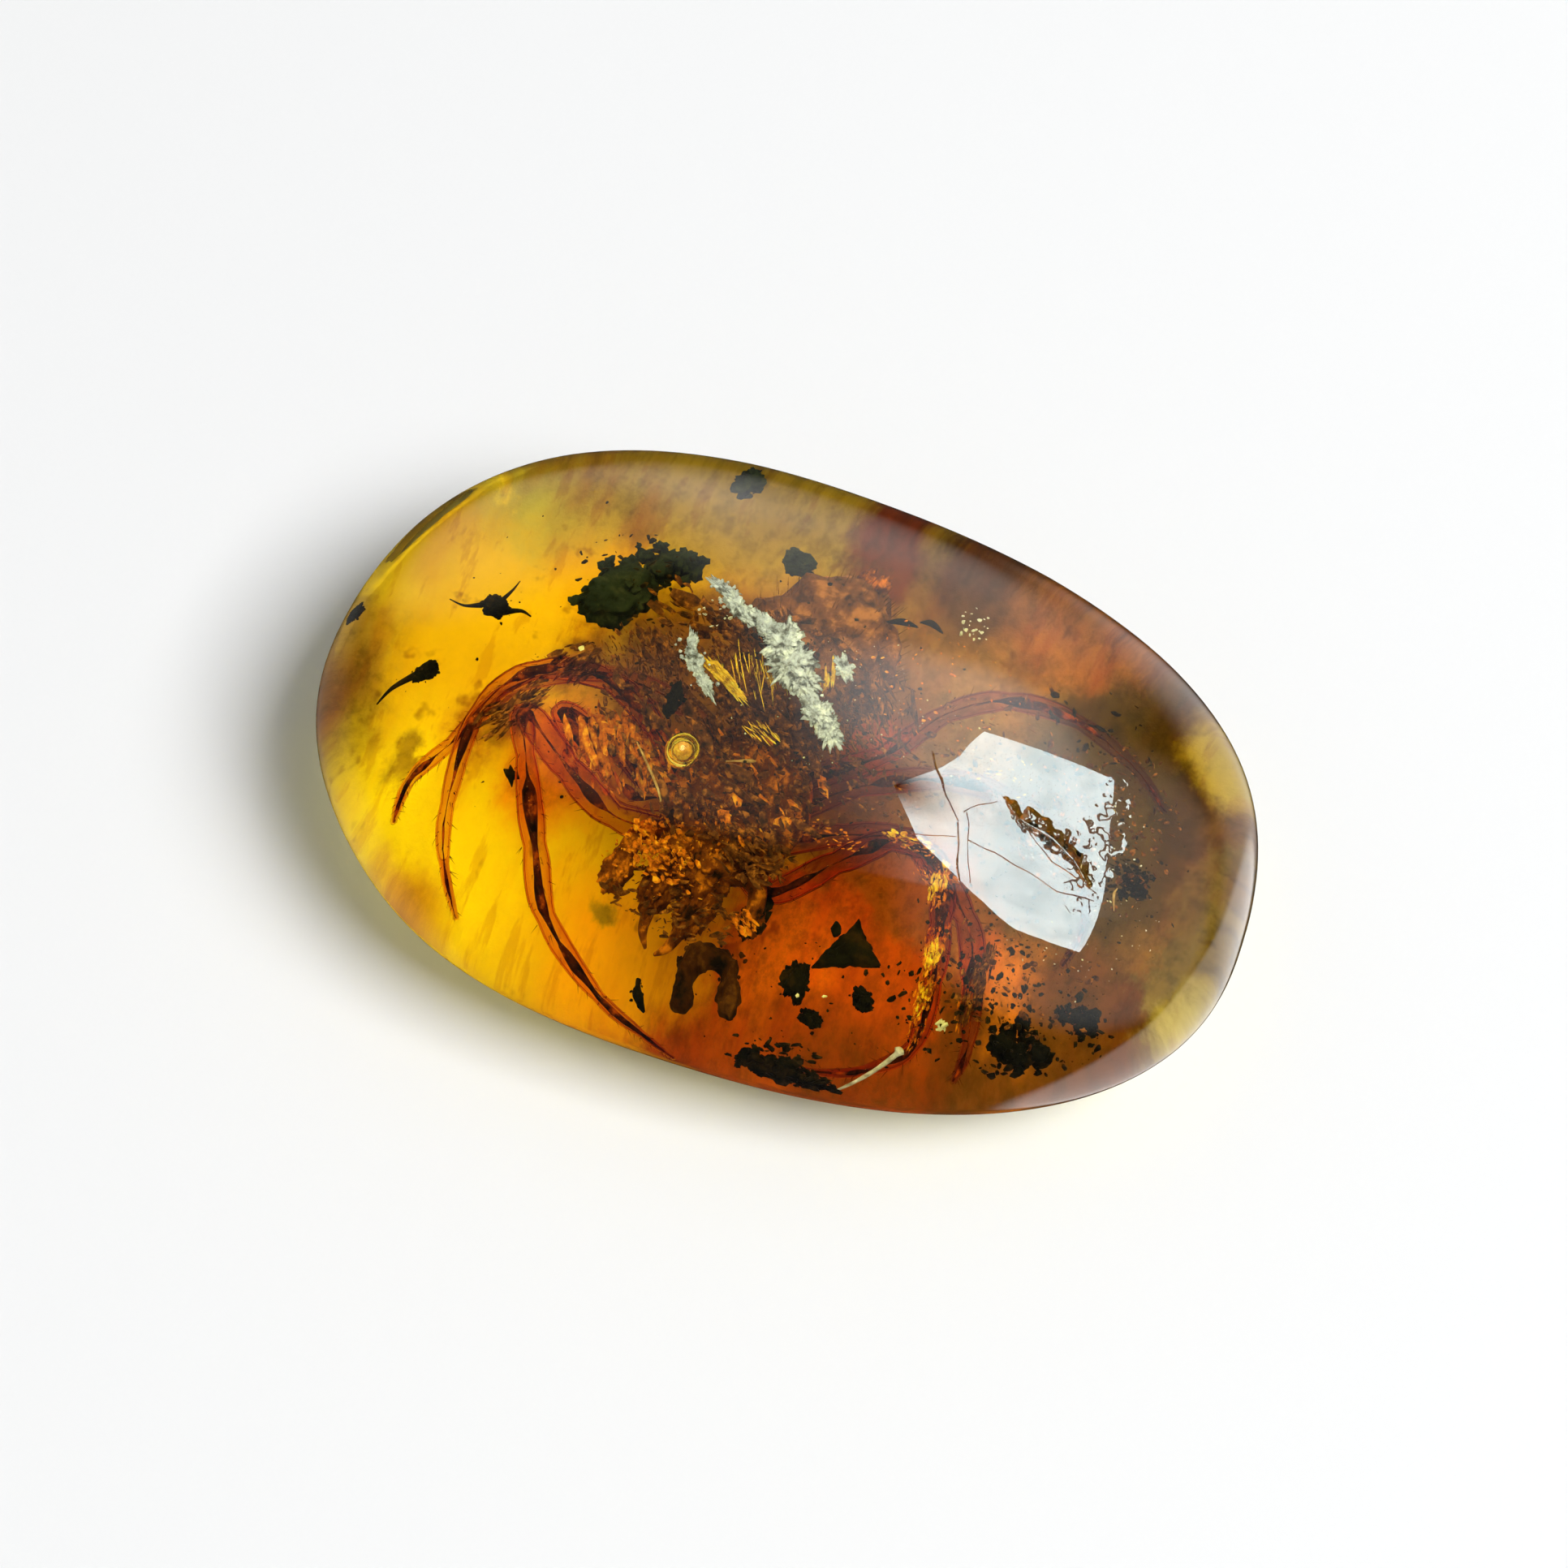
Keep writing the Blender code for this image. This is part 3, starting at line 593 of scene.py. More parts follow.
# --- The clouded rind ---
# The first resin to set, cloudy and full of forest dust, left as a thin skin just inside the underside.
# It is honey yellow at one end and red-brown to black towards the other. Some patches are painted light:
# shade along the left rim, a shadow of the legs, a pool of light at the yellow end, a reflection at the right
# rim.
LENGTH = 36.0 * MM
WIDTH = 23.6 * MM
HEIGHT = cad_high.z
GIRDLE_HEIGHT = 4.5 * MM
BASE_SHARE = 0.62
PLAN_POWER = 2.38
DOME_POWER = 2.15
TAPER = 0.065
WORN_SPOTS = ((8.0, 13.0, 0.016), (209.0, 16.0, 0.023), (185.0, 14.0, -0.015))
BASE_ROUNDING = 0.5 * MM
RIND_SEGMENTS, RIND_RINGS = 160, 120
RIND_TOP = 1.7 * MM
RIND_INSET = 0.3 * MM
RIND_WALL = 0.12 * MM
RIND_LUMPS = 0.1 * MM
RIND_COLOUR = (0.8, 0.56, 0.015)
PATCH_DRIFT = 4.0 * MM
DUST_DEPTH = 0.15 * MM
STAINS_AND_PAINTED_LIGHT = (
    # plan centre and half sizes in mm, softness, colour
    # painted shade: the left rim darker tan and olive, as the curved edge shows it
    ((-15.6, -2.6), (1.7, 6.0), 0.5, (0.42, 0.29, 0.09)),
    ((-15.0, -3.2), (1.9, 3.0), 0.35, (0.22, 0.11, 0.05)),
    ((-14.8, 3.0), (0.9, 1.5), 0.6, (0.84, 0.66, 0.06)),
    # partly the clear honey yellow, partly a painted pool of light where the dome focuses the light on the
    # left end
    ((-9.6, -3.6), (4.6, 2.8), 0.6, (1.0, 0.92, 0.02)),
    # painted shadow of the legs on the rind
    ((-12.4, -2.1), (0.45, 0.75), 0.5, (0.42, 0.3, 0.03)),
    ((-11.6, 4.2), (2.8, 2.0), 0.8, (0.82, 0.6, 0.03)),
    ((-11.4, 6.9), (2.6, 1.5), 0.6, (0.54, 0.53, 0.17)),
    ((-12.9, 6.5), (0.5, 0.4), 0.6, (1.0, 0.84, 0.1)),
    ((-12.0, -5.6), (2.2, 1.1), 0.5, (0.66, 0.38, 0.04)),
    ((-7.6, -1.0), (1.5, 1.9), 0.6, (0.9, 0.34, 0.01)),
    ((-10.7, -0.7), (0.8, 0.8), 0.7, (0.5, 0.2, 0.05)),
    ((-9.6, 0.5), (0.8, 0.9), 0.7, (0.34, 0.11, 0.05)),
    ((-8.5, 2.4), (0.9, 1.0), 0.7, (0.3, 0.1, 0.06)),
    ((-2.8, -5.2), (3.6, 2.4), 0.5, (1.0, 0.54, 0.01)),
    ((-4.8, -4.2), (0.5, 0.4), 0.6, (0.4, 0.3, 0.03)),
    ((-6.0, 9.6), (10.0, 3.2), 0.25, (0.43, 0.33, 0.085)),
    ((7.2, 3.2), (8.2, 6.6), 0.22, (0.33, 0.17, 0.085)),
    ((3.8, 3.2), (2.2, 1.8), 0.5, (0.24, 0.15, 0.085)),
    ((-2.0, 2.6), (5.8, 4.0), 0.22, (0.26, 0.095, 0.035)),
    ((2.1, 3.0), (1.2, 0.7), 0.5, (0.52, 0.1, 0.04)),
    ((9.6, 2.8), (3.6, 4.2), 0.25, (0.08, 0.045, 0.028)),
    ((6.8, 7.7), (2.6, 1.2), 0.4, (0.5, 0.19, 0.07)),
    ((3.0, 8.2), (1.9, 1.4), 0.4, (0.14, 0.055, 0.04)),
    ((9.4, -5.2), (4.6, 3.6), 0.25, (0.22, 0.065, 0.045)),
    ((9.2, -2.4), (2.0, 1.1), 0.4, (0.8, 0.27, 0.03)),
    ((12.0, -2.3), (2.0, 1.8), 0.3, (0.16, 0.05, 0.03)),
    ((4.8, -1.0), (2.4, 1.5), 0.4, (0.36, 0.08, 0.02)),
    ((3.4, -4.2), (3.9, 2.6), 0.1, (0.6, 0.085, 0.008)),
    ((1.4, -3.8), (2.0, 2.0), 0.6, (1.0, 0.23, 0.01)),
    ((4.9, -5.5), (3.2, 1.2), 0.6, (0.28, 0.035, 0.006)),
    ((0.0, -7.0), (3.4, 1.5), 0.4, (0.6, 0.11, 0.008)),
    ((-0.5, 8.1), (1.5, 1.3), 0.35, (0.2, 0.03, 0.02)),
    ((15.1, 0.6), (2.3, 5.4), 0.06, (0.22, 0.16, 0.08)),
    ((13.6, 7.0), (2.6, 2.2), 0.2, (0.6, 0.51, 0.13)),
    # painted reflection: the pale grey of the background at the lower right rim
    ((15.2, -4.4), (2.2, 3.6), 0.2, (0.62, 0.6, 0.56)),
)
RUNS_WAY = math.radians(62.0)
RIND_MARKS = {
    # noise scale, detail and roughness, where it starts and is full, share, colour
    "runs": ((430.0, 5.0, 0.55), (0.46, 0.66), 0.32, (0.8, 0.42, 0.3)),
    "threads": ((1500.0, 4.0, 0.6), (0.54, 0.64), 0.5, (0.72, 0.52, 0.6)),
    "smudges": ((820.0, 3.0, 0.6), (0.6, 0.72), 0.8, (0.4, 0.26, 0.3)),
}


def stone_point(direction):
    """Where a point of the unit sphere lies on the polished stone."""
    ring = math.hypot(direction.x, direction.y)
    angle = math.atan2(direction.y, direction.x)
    x = math.copysign(abs(math.cos(angle)) ** (2.0 / PLAN_POWER), math.cos(angle)) * LENGTH / 2.0
    y = math.copysign(abs(math.sin(angle)) ** (2.0 / PLAN_POWER), math.sin(angle)) * WIDTH / 2.0
    y *= 1.0 - TAPER * x / (LENGTH / 2.0)
    plan_angle = math.degrees(math.atan2(y, x))
    share = 1.0
    for spot, spread, depth in WORN_SPOTS:
        away = (plan_angle - spot + 180.0) % 360.0 - 180.0
        share -= depth * math.exp(-((away / spread) ** 2))
    if direction.z >= 0.0:
        share *= ring ** (2.0 / DOME_POWER)
        z = GIRDLE_HEIGHT + (HEIGHT - GIRDLE_HEIGHT) * direction.z ** (2.0 / DOME_POWER)
    else:
        share *= ring
        z = GIRDLE_HEIGHT * (1.0 + direction.z / math.sqrt(1.0 - BASE_SHARE**2))
        z = (z + math.sqrt(z * z + BASE_ROUNDING**2)) / 2.0
    return Vector((x * share, y * share, z))


def math_node(operation, *values):
    """A Math node over sockets and numbers."""
    return new_node("Math", dict(enumerate(values)), operation=operation)["Value"]


def vector_node(operation, *values):
    """A Vector Math node over sockets and vectors, in metres."""
    made = new_node("VectorMath", dict(enumerate(values)), operation=operation)
    return made["Value" if operation in ("LENGTH", "DISTANCE", "DOT_PRODUCT") else "Vector"]


rind_stuff, tree, shader = new_material("clouded_rind")
where = new_node("TexCoord", {})["Object"]
drift = noise_node(where, 280.0, 8.0, 0.62)["Color"]
half_back = Vector((-PATCH_DRIFT / 2.0, -PATCH_DRIFT / 2.0, 0.0))
wander = vector_node("MULTIPLY_ADD", where, Vector((1.0, 1.0, 0.0)), half_back)
wander = vector_node("MULTIPLY_ADD", drift, Vector((PATCH_DRIFT, PATCH_DRIFT, 0.0)), wander)
rind_colour = RIND_COLOUR
for (x, y), (half_x, half_y), softness, colour in STAINS_AND_PAINTED_LIGHT:
    away = vector_node("SUBTRACT", wander, Vector((x * MM, y * MM, 0.0)))
    reach = vector_node("LENGTH", vector_node("DIVIDE", away, Vector((half_x * MM, half_y * MM, 1.0))))
    rind_colour = blended(rise_between(reach, 1.0 + softness, 1.0 - softness), rind_colour, colour)
# Runs, threads and smudges in the resin, and dust; runs and dust are thick where the rind is dark.
slant = {"Vector": where, "Rotation": Vector((0.0, 0.0, RUNS_WAY)), "Scale": Vector((1.0, 0.3, 1.0))}
stretched = new_node("Mapping", slant)["Vector"]
green = new_node("SeparateColor", {"Color": rind_colour})["Green"]
dusk = rise_between(green, 0.6, 0.2)
for name, (grades, (start, full), most, colour) in RIND_MARKS.items():
    marks = noise_node(where if name == "smudges" else stretched, *grades)["Fac"]
    most = math_node("MULTIPLY_ADD", dusk, 0.45, most) if name == "runs" else most
    share = math_node("MULTIPLY", rise_between(marks, start, full), most)
    rind_colour = blended(share, rind_colour, colour, "MULTIPLY")
dust = noise_node(where, 1700.0, 6.0, 0.7)["Fac"]
dirt = math_node("MULTIPLY_ADD", dusk, 0.45, 0.05)
shade = math_node("SUBTRACT", 1.0, math_node("MULTIPLY", rise_between(dust, 0.62, 0.3), dirt))
bump = new_node("Bump", {"Strength": 0.25, "Distance": DUST_DEPTH, "Height": dust})
feed(shader, {
    "Base Color": blended(1.0, rind_colour, shade, "MULTIPLY"), "Roughness": 0.6, "Normal": bump["Normal"],
})

bm = bmesh.new()
bmesh.ops.create_uvsphere(bm, u_segments=RIND_SEGMENTS, v_segments=RIND_RINGS, radius=1.0)
for vert in bm.verts:
    vert.co = stone_point(vert.co)
bmesh.ops.bisect_plane(
    bm, geom=bm.verts[:] + bm.edges[:] + bm.faces[:], plane_co=(0.0, 0.0, RIND_TOP), plane_no=(0.0, 0.0, 1.0),
    clear_outer=True,
)
bm.normal_update()
for vert in bm.verts:
    bulge = RIND_LUMPS * noise.fractal(vert.co * 500.0, 0.6, 2.0, 5)
    vert.co = vert.co - vert.normal * (RIND_INSET + bulge)
bmesh.ops.solidify(bm, geom=bm.faces[:], thickness=RIND_WALL)
bmesh.ops.recalc_face_normals(bm, faces=bm.faces)
rind = finished("clouded_rind", bm, rind_stuff)
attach(rind, "root")

# --- Husks, specks and fibres ---
# Crumbs round the spider: brown skin and husk, golden fibres under the crust, frass round the
# head, soil grains thick where the bark lies. Each group is one mesh of many small loose bits.
SWARMS = {
    # slot, three colours, then for each swarm: how many bits, centre and reach in mm, shortest and longest
    # half length, thinnest and widest share of that, the way they lie in degrees and how far they stray
    "brown_husks": ("litter", ((0.024, 0.009, 0.005), (0.11, 0.036, 0.013), (0.42, 0.15, 0.032)), (
        (1500, (-1.6, -0.2, 7.4), (5.4, 4.6, 1.5), (0.04, 0.3), (0.15, 0.7), -32, 60),
        (420, (-5.6, 0.9, 6.4), (2.2, 1.6, 0.9), (0.05, 0.3), (0.1, 0.4), -50, 30),
        (260, (3.6, -0.6, 8.2), (3.2, 2.2, 1.2), (0.04, 0.22), (0.15, 0.6), -20, 60),
        (150, (-1.6, -6.2, 5.6), (2.8, 1.1, 0.5), (0.04, 0.3), (0.15, 0.6), 12, 50),
        (100, (-0.2, -3.6, 6.9), (2.2, 1.6, 0.6), (0.05, 0.4), (0.15, 0.6), -20, 60),
        (200, (0.7, -4.4, 7.0), (1.3, 1.2, 0.4), (0.06, 0.4), (0.2, 0.7), -20, 60),
        (70, (-9.9, -2.5, 6.3), (0.8, 0.8, 0.3), (0.06, 0.5), (0.1, 0.35), 52, 24),
        (90, (-9.1, -1.4, 6.4), (0.8, 0.8, 0.3), (0.06, 0.5), (0.1, 0.35), 50, 30),
        (90, (-8.1, 0.0, 6.6), (0.9, 0.9, 0.4), (0.06, 0.5), (0.1, 0.4), 48, 36),
        (110, (-1.6, 0.0, 7.3), (5.2, 4.2, 1.3), (0.3, 1.1), (0.1, 0.4), -34, 34),
        (60, (-3.6, 3.2, 6.6), (3.6, 1.6, 0.8), (0.2, 0.8), (0.15, 0.5), -20, 40),
        (160, (8.4, 1.4, 8.0), (4.2, 3.4, 1.2), (0.04, 0.3), (0.15, 0.7), -10, 90),
        (360, (11.4, 0.4, 7.6), (3.0, 3.6, 1.5), (0.03, 0.2), (0.2, 0.8)),
        (200, (10.2, -4.8, 5.6), (3.4, 2.6, 0.8), (0.03, 0.2), (0.2, 0.8)),
        (90, (10.4, -1.7, 10.3), (1.7, 0.6, 0.3), (0.08, 0.34), (0.3, 0.8), -20, 60),
        (130, (8.95, -4.9, 4.7), (0.34, 1.5, 0.2), (0.08, 0.4), (0.1, 0.35), 98, 12),
        (90, (2.8, 1.0, 9.4), (1.8, 1.8, 0.6), (0.15, 0.75), (0.05, 0.16), -58, 40),
    )),
    "orange_husks": ("straw", ((0.1, 0.025, 0.004), (0.68, 0.18, 0.01), (1.0, 0.48, 0.03)), (
        (110, (-5.4, -2.0, 5.6), (2.0, 1.6, 0.7), (0.15, 0.9), (0.14, 0.36), -52, 14),
        (26, (-1.0, -2.4, 7.0), (3.4, 2.6, 0.8), (0.2, 0.7), (0.15, 0.5), -34, 40),
        (110, (-1.2, -3.9, 6.9), (1.3, 1.1, 0.4), (0.02, 0.12), (0.3, 0.9), -30, 90),
        (80, (-2.4, -5.4, 6.0), (2.4, 1.0, 0.5), (0.03, 0.16), (0.2, 0.7), 10, 50),
        (380, (-2.6, -5.0, 6.5), (1.6, 1.1, 0.5), (0.03, 0.2), (0.3, 0.9), -30, 60),
        (60, (2.6, -2.9, 7.0), (1.6, 0.4, 0.3), (0.04, 0.18), (0.2, 0.6), 25, 30),
        (90, (6.6, -2.6, 6.05), (0.9, 0.4, 0.3), (0.05, 0.2), (0.2, 0.5), -30, 25),
        (110, (7.25, -4.2, 5.5), (0.38, 0.9, 0.3), (0.05, 0.22), (0.2, 0.5), 98, 25),
        (110, (7.5, -5.6, 5.1), (0.38, 0.9, 0.3), (0.05, 0.22), (0.2, 0.5), 96, 25),
        (60, (7.65, -6.9, 4.75), (0.28, 0.9, 0.2), (0.05, 0.2), (0.2, 0.5), 94, 25),
        (40, (1.0, -6.3, 6.2), (0.45, 0.35, 0.1), (0.08, 0.36), (0.2, 0.5), -35, 14),
        (60, (5.6, -2.1, 6.7), (1.2, 0.3, 0.12), (0.04, 0.18), (0.2, 0.6), 5, 40),
        (90, (6.85, -3.1, 6.38), (0.3, 0.8, 0.12), (0.04, 0.2), (0.2, 0.6), 105, 30),
        (120, (7.42, -4.8, 5.8), (0.3, 0.9, 0.12), (0.04, 0.2), (0.2, 0.6), 100, 30),
        (90, (7.6, -6.3, 5.4), (0.26, 0.9, 0.12), (0.04, 0.2), (0.2, 0.6), 95, 30),
        (70, (8.8, -4.9, 4.25), (0.35, 1.3, 0.2), (0.05, 0.26), (0.1, 0.3), 100, 12),
        (120, (4.6, 3.2, 8.6), (3.4, 2.6, 0.9), (0.02, 0.1), (0.3, 0.9)),
    )),
    "golden_fibres": ("straw", ((0.36, 0.15, 0.01), (0.92, 0.56, 0.025), (1.0, 0.86, 0.07)), (
        (40, (-3.0, 0.22, 10.8), (0.34, 0.18, 0.12), (0.2, 0.6), (0.07, 0.15), -31, 7),
        (44, (-2.45, -0.1, 10.8), (0.34, 0.2, 0.12), (0.25, 0.6), (0.07, 0.15), -31, 7),
        (36, (-1.85, -0.46, 10.8), (0.34, 0.18, 0.12), (0.2, 0.6), (0.05, 0.12), -31, 9),
        (60, (-1.7, 0.6, 10.4), (1.6, 0.9, 0.4), (0.25, 0.8), (0.02, 0.05), -58, 14),
        (30, (-0.4, -1.4, 10.2), (0.8, 0.3, 0.2), (0.15, 0.45), (0.05, 0.12), -28, 12),
        (18, (1.0, 1.3, 10.6), (0.25, 0.7, 0.15), (0.15, 0.5), (0.1, 0.25), 105, 20),
        (34, (6.75, -2.9, 6.45), (0.28, 0.7, 0.12), (0.06, 0.24), (0.2, 0.5), 105, 25),
        (56, (7.45, -5.0, 5.85), (0.28, 0.5, 0.12), (0.06, 0.26), (0.2, 0.5), 100, 25),
        (24, (7.6, -6.2, 5.45), (0.22, 0.7, 0.12), (0.06, 0.24), (0.2, 0.5), 95, 25),
        (40, (5.5, -2.05, 6.8), (1.1, 0.25, 0.12), (0.05, 0.2), (0.2, 0.5), 0, 30),
        (30, (8.6, -0.2, 11.4), (1.8, 0.9, 0.1), (0.03, 0.12), (0.1, 0.5), 15, 60),
    )),
    "pale_specks": ("silver", ((0.45, 0.46, 0.44), (0.8, 0.82, 0.8), (1.0, 1.0, 1.0)), (
        (26, (4.9, 5.6, 9.4), (0.9, 0.8, 0.4), (0.04, 0.13), (0.5, 1.0), 30, 90),
        (90, (2.6, 0.8, 9.0), (5.2, 3.6, 1.2), (0.015, 0.05), (0.5, 1.0)),
        (110, (12.2, -2.4, 8.0), (2.8, 4.4, 1.4), (0.015, 0.06), (0.3, 1.0)),
        (14, (-3.9, 2.4, 10.2), (0.8, 0.7, 0.3), (0.04, 0.11), (0.4, 0.9)),
        (7, (8.6, -7.0, 5.6), (0.24, 0.14, 0.1), (0.1, 0.24), (0.4, 0.9), 20, 90),
        (1, (4.5, -7.5, 5.8), (0.02, 0.02, 0.02), (0.11, 0.12), (0.8, 1.0)),
        (1, (3.6, -7.8, 5.8), (0.02, 0.02, 0.02), (0.08, 0.1), (0.8, 1.0)),
        (1, (-8.0, 0.3, 7.6), (0.02, 0.02, 0.02), (0.12, 0.13), (0.8, 1.0)),
    )),
    "dark_specks": ("litter", ((0.002, 0.002, 0.002), (0.01, 0.007, 0.005), (0.04, 0.022, 0.012)), (
        (520, (10.4, -1.4, 7.0), (4.6, 5.6, 1.6), (0.02, 0.11), (0.4, 1.0)),
        (280, (10.4, -5.8, 5.3), (4.4, 2.6, 0.6), (0.02, 0.2), (0.4, 1.0)),
        (110, (12.6, -0.6, 6.6), (1.0, 0.9, 0.5), (0.04, 0.16), (0.4, 1.0)),
        (170, (0.0, 1.0, 8.0), (6.5, 5.0, 1.8), (0.02, 0.12), (0.3, 1.0)),
        (70, (-10.0, 0.0, 5.5), (5.5, 6.5, 1.6), (0.015, 0.09), (0.3, 1.0)),
        (60, (3.0, -7.5, 4.8), (6.0, 2.4, 0.8), (0.02, 0.11), (0.4, 1.0)),
        (60, (-7.4, 3.9, 6.2), (2.6, 1.9, 0.6), (0.04, 0.26), (0.3, 0.9), 20, 90),
        (90, (-0.9, 1.7, 11.0), (1.7, 0.9, 0.12), (0.05, 0.24), (0.3, 0.9), -40, 40),
        (60, (3.4, -9.4, 4.7), (1.8, 0.9, 0.4), (0.04, 0.26), (0.3, 0.9), 0, 60),
        (50, (10.6, 3.4, 8.4), (2.6, 2.2, 0.8), (0.04, 0.3), (0.2, 0.7)),
        (110, (4.7, -10.2, 4.4), (1.5, 0.6, 0.3), (0.1, 0.45), (0.4, 1.0), -3, 60),
        (50, (10.4, -1.6, 10.5), (1.6, 0.5, 0.2), (0.06, 0.26), (0.4, 0.9), -20, 60),
        (60, (1.1, -5.5, 5.3), (0.45, 0.9, 0.3), (0.08, 0.4), (0.4, 0.9), 80, 40),
    )),
}
ANY_WAY = (0, 90)
MOST_NOD, MOST_ROLL = 0.5, 1.0  # radians
CROWDING = 0.4  # one third spreads the bits evenly, and more crowds them in the middle
FLATNESS = 0.5
UNEVEN = (0.6, 1.2)
DEEPEST_REACH = 0.93
CHUNK = 600  # corners that a mesh has before it is set aside, which keeps the work quick


def stone_reach(place):
    """How far a point lies from the middle of the stone, 1 being its skin."""
    rise = (place.z - GIRDLE_HEIGHT) / (HEIGHT - GIRDLE_HEIGHT)
    if rise >= 0.0:
        ring = max(1.0 - min(rise, 1.0) ** DOME_POWER, 0.0) ** (1.0 / DOME_POWER)
    else:
        ring = 1.0 - (1.0 - BASE_SHARE) * (place.z / GIRDLE_HEIGHT - 1.0) ** 2
    x = place.x / (ring * LENGTH / 2.0)
    y = place.y / (ring * WIDTH / 2.0 * (1.0 - TAPER * x))
    return (abs(x) ** PLAN_POWER + abs(y) ** PLAN_POWER) ** (1.0 / PLAN_POWER)


for name, (slot, colours, swarms) in SWARMS.items():
    random.seed(len(name))
    all_bits, bm = bmesh.new(), bmesh.new()
    for count, centre, reach, (shortest, longest), widths, *lie in swarms:
        heading, stray = lie or ANY_WAY
        for _ in range(count):
            if len(bm.verts) > CHUNK:
                take_in(all_bits, bm)
                bm = bmesh.new()
            way = any_way() * random.random() ** CROWDING
            place = Vector([(middle + off * far) * MM for middle, off, far in zip(centre, way, reach)])
            size = shortest + (longest - shortest) * random.random() ** 2
            turn = Matrix.Rotation(math.radians(random.gauss(heading, stray / 2.0)), 4, "Z")
            nod = Matrix.Rotation(random.uniform(-MOST_NOD, MOST_NOD), 4, "Y")
            roll = Matrix.Rotation(random.uniform(-MOST_ROLL, MOST_ROLL), 4, "X")
            width = random.uniform(*widths)
            if stone_reach(place) > DEEPEST_REACH:
                continue
            bit = Matrix.Diagonal((size * MM, size * MM * width, size * MM * width * FLATNESS, 1.0))
            grown = bmesh.ops.create_icosphere(bm, subdivisions=1, radius=1.0)["verts"]
            for vert in grown:
                vert.co *= random.uniform(*UNEVEN)
            tilt = nod @ roll
            bmesh.ops.transform(bm, matrix=Matrix.Translation(place) @ turn @ tilt @ bit, verts=grown)
    take_in(all_bits, bm)
    stuff = mottled_material(name + "_crumb", colours, 3000.0, relief=0.2)
    swarm = finished(name, all_bits, stuff, smooth=False)
    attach(swarm, "root")

# --- Loose fibres ---
# Tan plant hairs by the bubble and the cleft, and dark dashes of torn leaf. Each floats free
# in the resin where it was caught.
FIBRES = (
    ((-4.6, -2.9, 9.2, 0.02), (-4.0, -3.5, 9.3, 0.045), (-3.3, -4.2, 9.2, 0.045), (-3.0, -4.6, 9.1, 0.03)),
    ((12.9, -1.6, 8.2, 0.02), (12.9, -1.9, 8.3, 0.05), (13.1, -2.4, 8.2, 0.02)),
    ((-1.4, -2.5, 9.2, 0.02), (-1.0, -2.35, 9.2, 0.04), (-0.6, -2.2, 9.2, 0.07), (-0.4, -2.15, 9.2, 0.03)),
)
DASHES = (
    ((1.5, 5.2, 6.2, 0.04), (2.0, 5.4, 6.2, 0.13), (2.6, 5.4, 6.2, 0.03)),
    ((2.6, 5.6, 6.2, 0.03), (3.0, 5.7, 6.2, 0.13), (3.5, 5.5, 6.2, 0.03)),
    ((-9.0, -3.6, 5.0, 0.03), (-8.7, -3.7, 5.0, 0.16), (-8.4, -3.75, 5.0, 0.03)),
    ((-8.85, -3.4, 5.0, 0.02), (-8.7, -3.7, 5.0, 0.13), (-8.5, -4.1, 5.05, 0.02)),
)
hemp = mottled_material("tan_fibre", ((0.3, 0.16, 0.06), (0.52, 0.33, 0.14), (0.75, 0.55, 0.3)), 2200.0)
for name, strands, stuff, slot in (
    ("pale_fibres", FIBRES, hemp, "straw"), ("dark_dashes", DASHES, dead_litter, "litter"),
):
    bm = bmesh.new()
    for points in strands:
        add_tube(bm, smooth_path(points), sides=8)
    strand = finished(name, bm, stuff)
    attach(strand, "root")

# --- Yellow froth ---
# A crumpled bead of dried yellow froth that half fills the bubble. It is the scum that the gas
# left behind when the resin set.
BUBBLE = (-2.9, -2.8, 9.6)  # mm
FROTH_SIZES = (0.5, 0.5, 0.5)  # half sizes, in mm
froth = mottled_material("yellow_froth", ((0.36, 0.13, 0.01), (0.72, 0.34, 0.015), (0.9, 0.58, 0.05)), 2200.0)
bead = finished("yellow_froth", ragged_lump(BUBBLE, FROTH_SIZES, 0.0, rag=0.12), froth)
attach(bead, "root")

# --- The stone ---
# One lump of fossil resin, ground to a rounded oval with a flat underside and polished all over.
# The frame parts it in two round its pockets; here it is one clear piece, with its bubble.
STONE_SEGMENTS, STONE_RINGS = 176, 104
HAND_POLISH = 0.03 * MM
POLISH_PITCH = 220.0
POLISHED_ABOVE = 1.0 * MM
GROUND_ABOVE, GROUND_BELOW = 0.5 * MM, 0.2 * MM
CLEFT = ((8.7, -1.1), (9.3, -1.5), (10.6, -1.6), (11.6, -2.0), (12.4, -2.6))  # plan points, in mm
CLEFT_WIDTH = 0.34 * MM
CLEFT_DEPTH = 0.26 * MM
CLEFT_CUTS, CLEFT_MARGIN = 3, 0.8 * MM
BUBBLE_RADIUS = 0.66 * MM
SCRATCHES = (
    # plan points in mm, half width
    ((5.6, -0.6), (6.6, -1.8), 0.042), ((6.6, -1.8), (7.4, -2.6), 0.028),
    ((7.4, -2.7), (8.1, -4.5), 0.035), ((7.6, -2.2), (8.5, -4.4), 0.018),
    ((7.5, -2.2), (8.3, -1.4), 0.018), ((6.1, -3.8), (7.5, -3.3), 0.018),
    ((8.0, -3.2), (11.4, -3.4), 0.018), ((11.4, -3.4), (12.8, -3.1), 0.021),
    ((8.6, -1.1), (10.9, -2.5), 0.018), ((10.9, -2.5), (12.8, -2.8), 0.021),
)
SCRATCH_DEPTH = 0.1 * MM
SCRATCH_SHARE = 0.22  # a scratch is this much as deep as a pit
SCRATCH_JITTER = 0.35 * MM
PIT_SHARE = 0.4
PIT_FIELD = ((12.2, -1.2), (1.0, 3.2))  # plan centre and half sizes, in mm


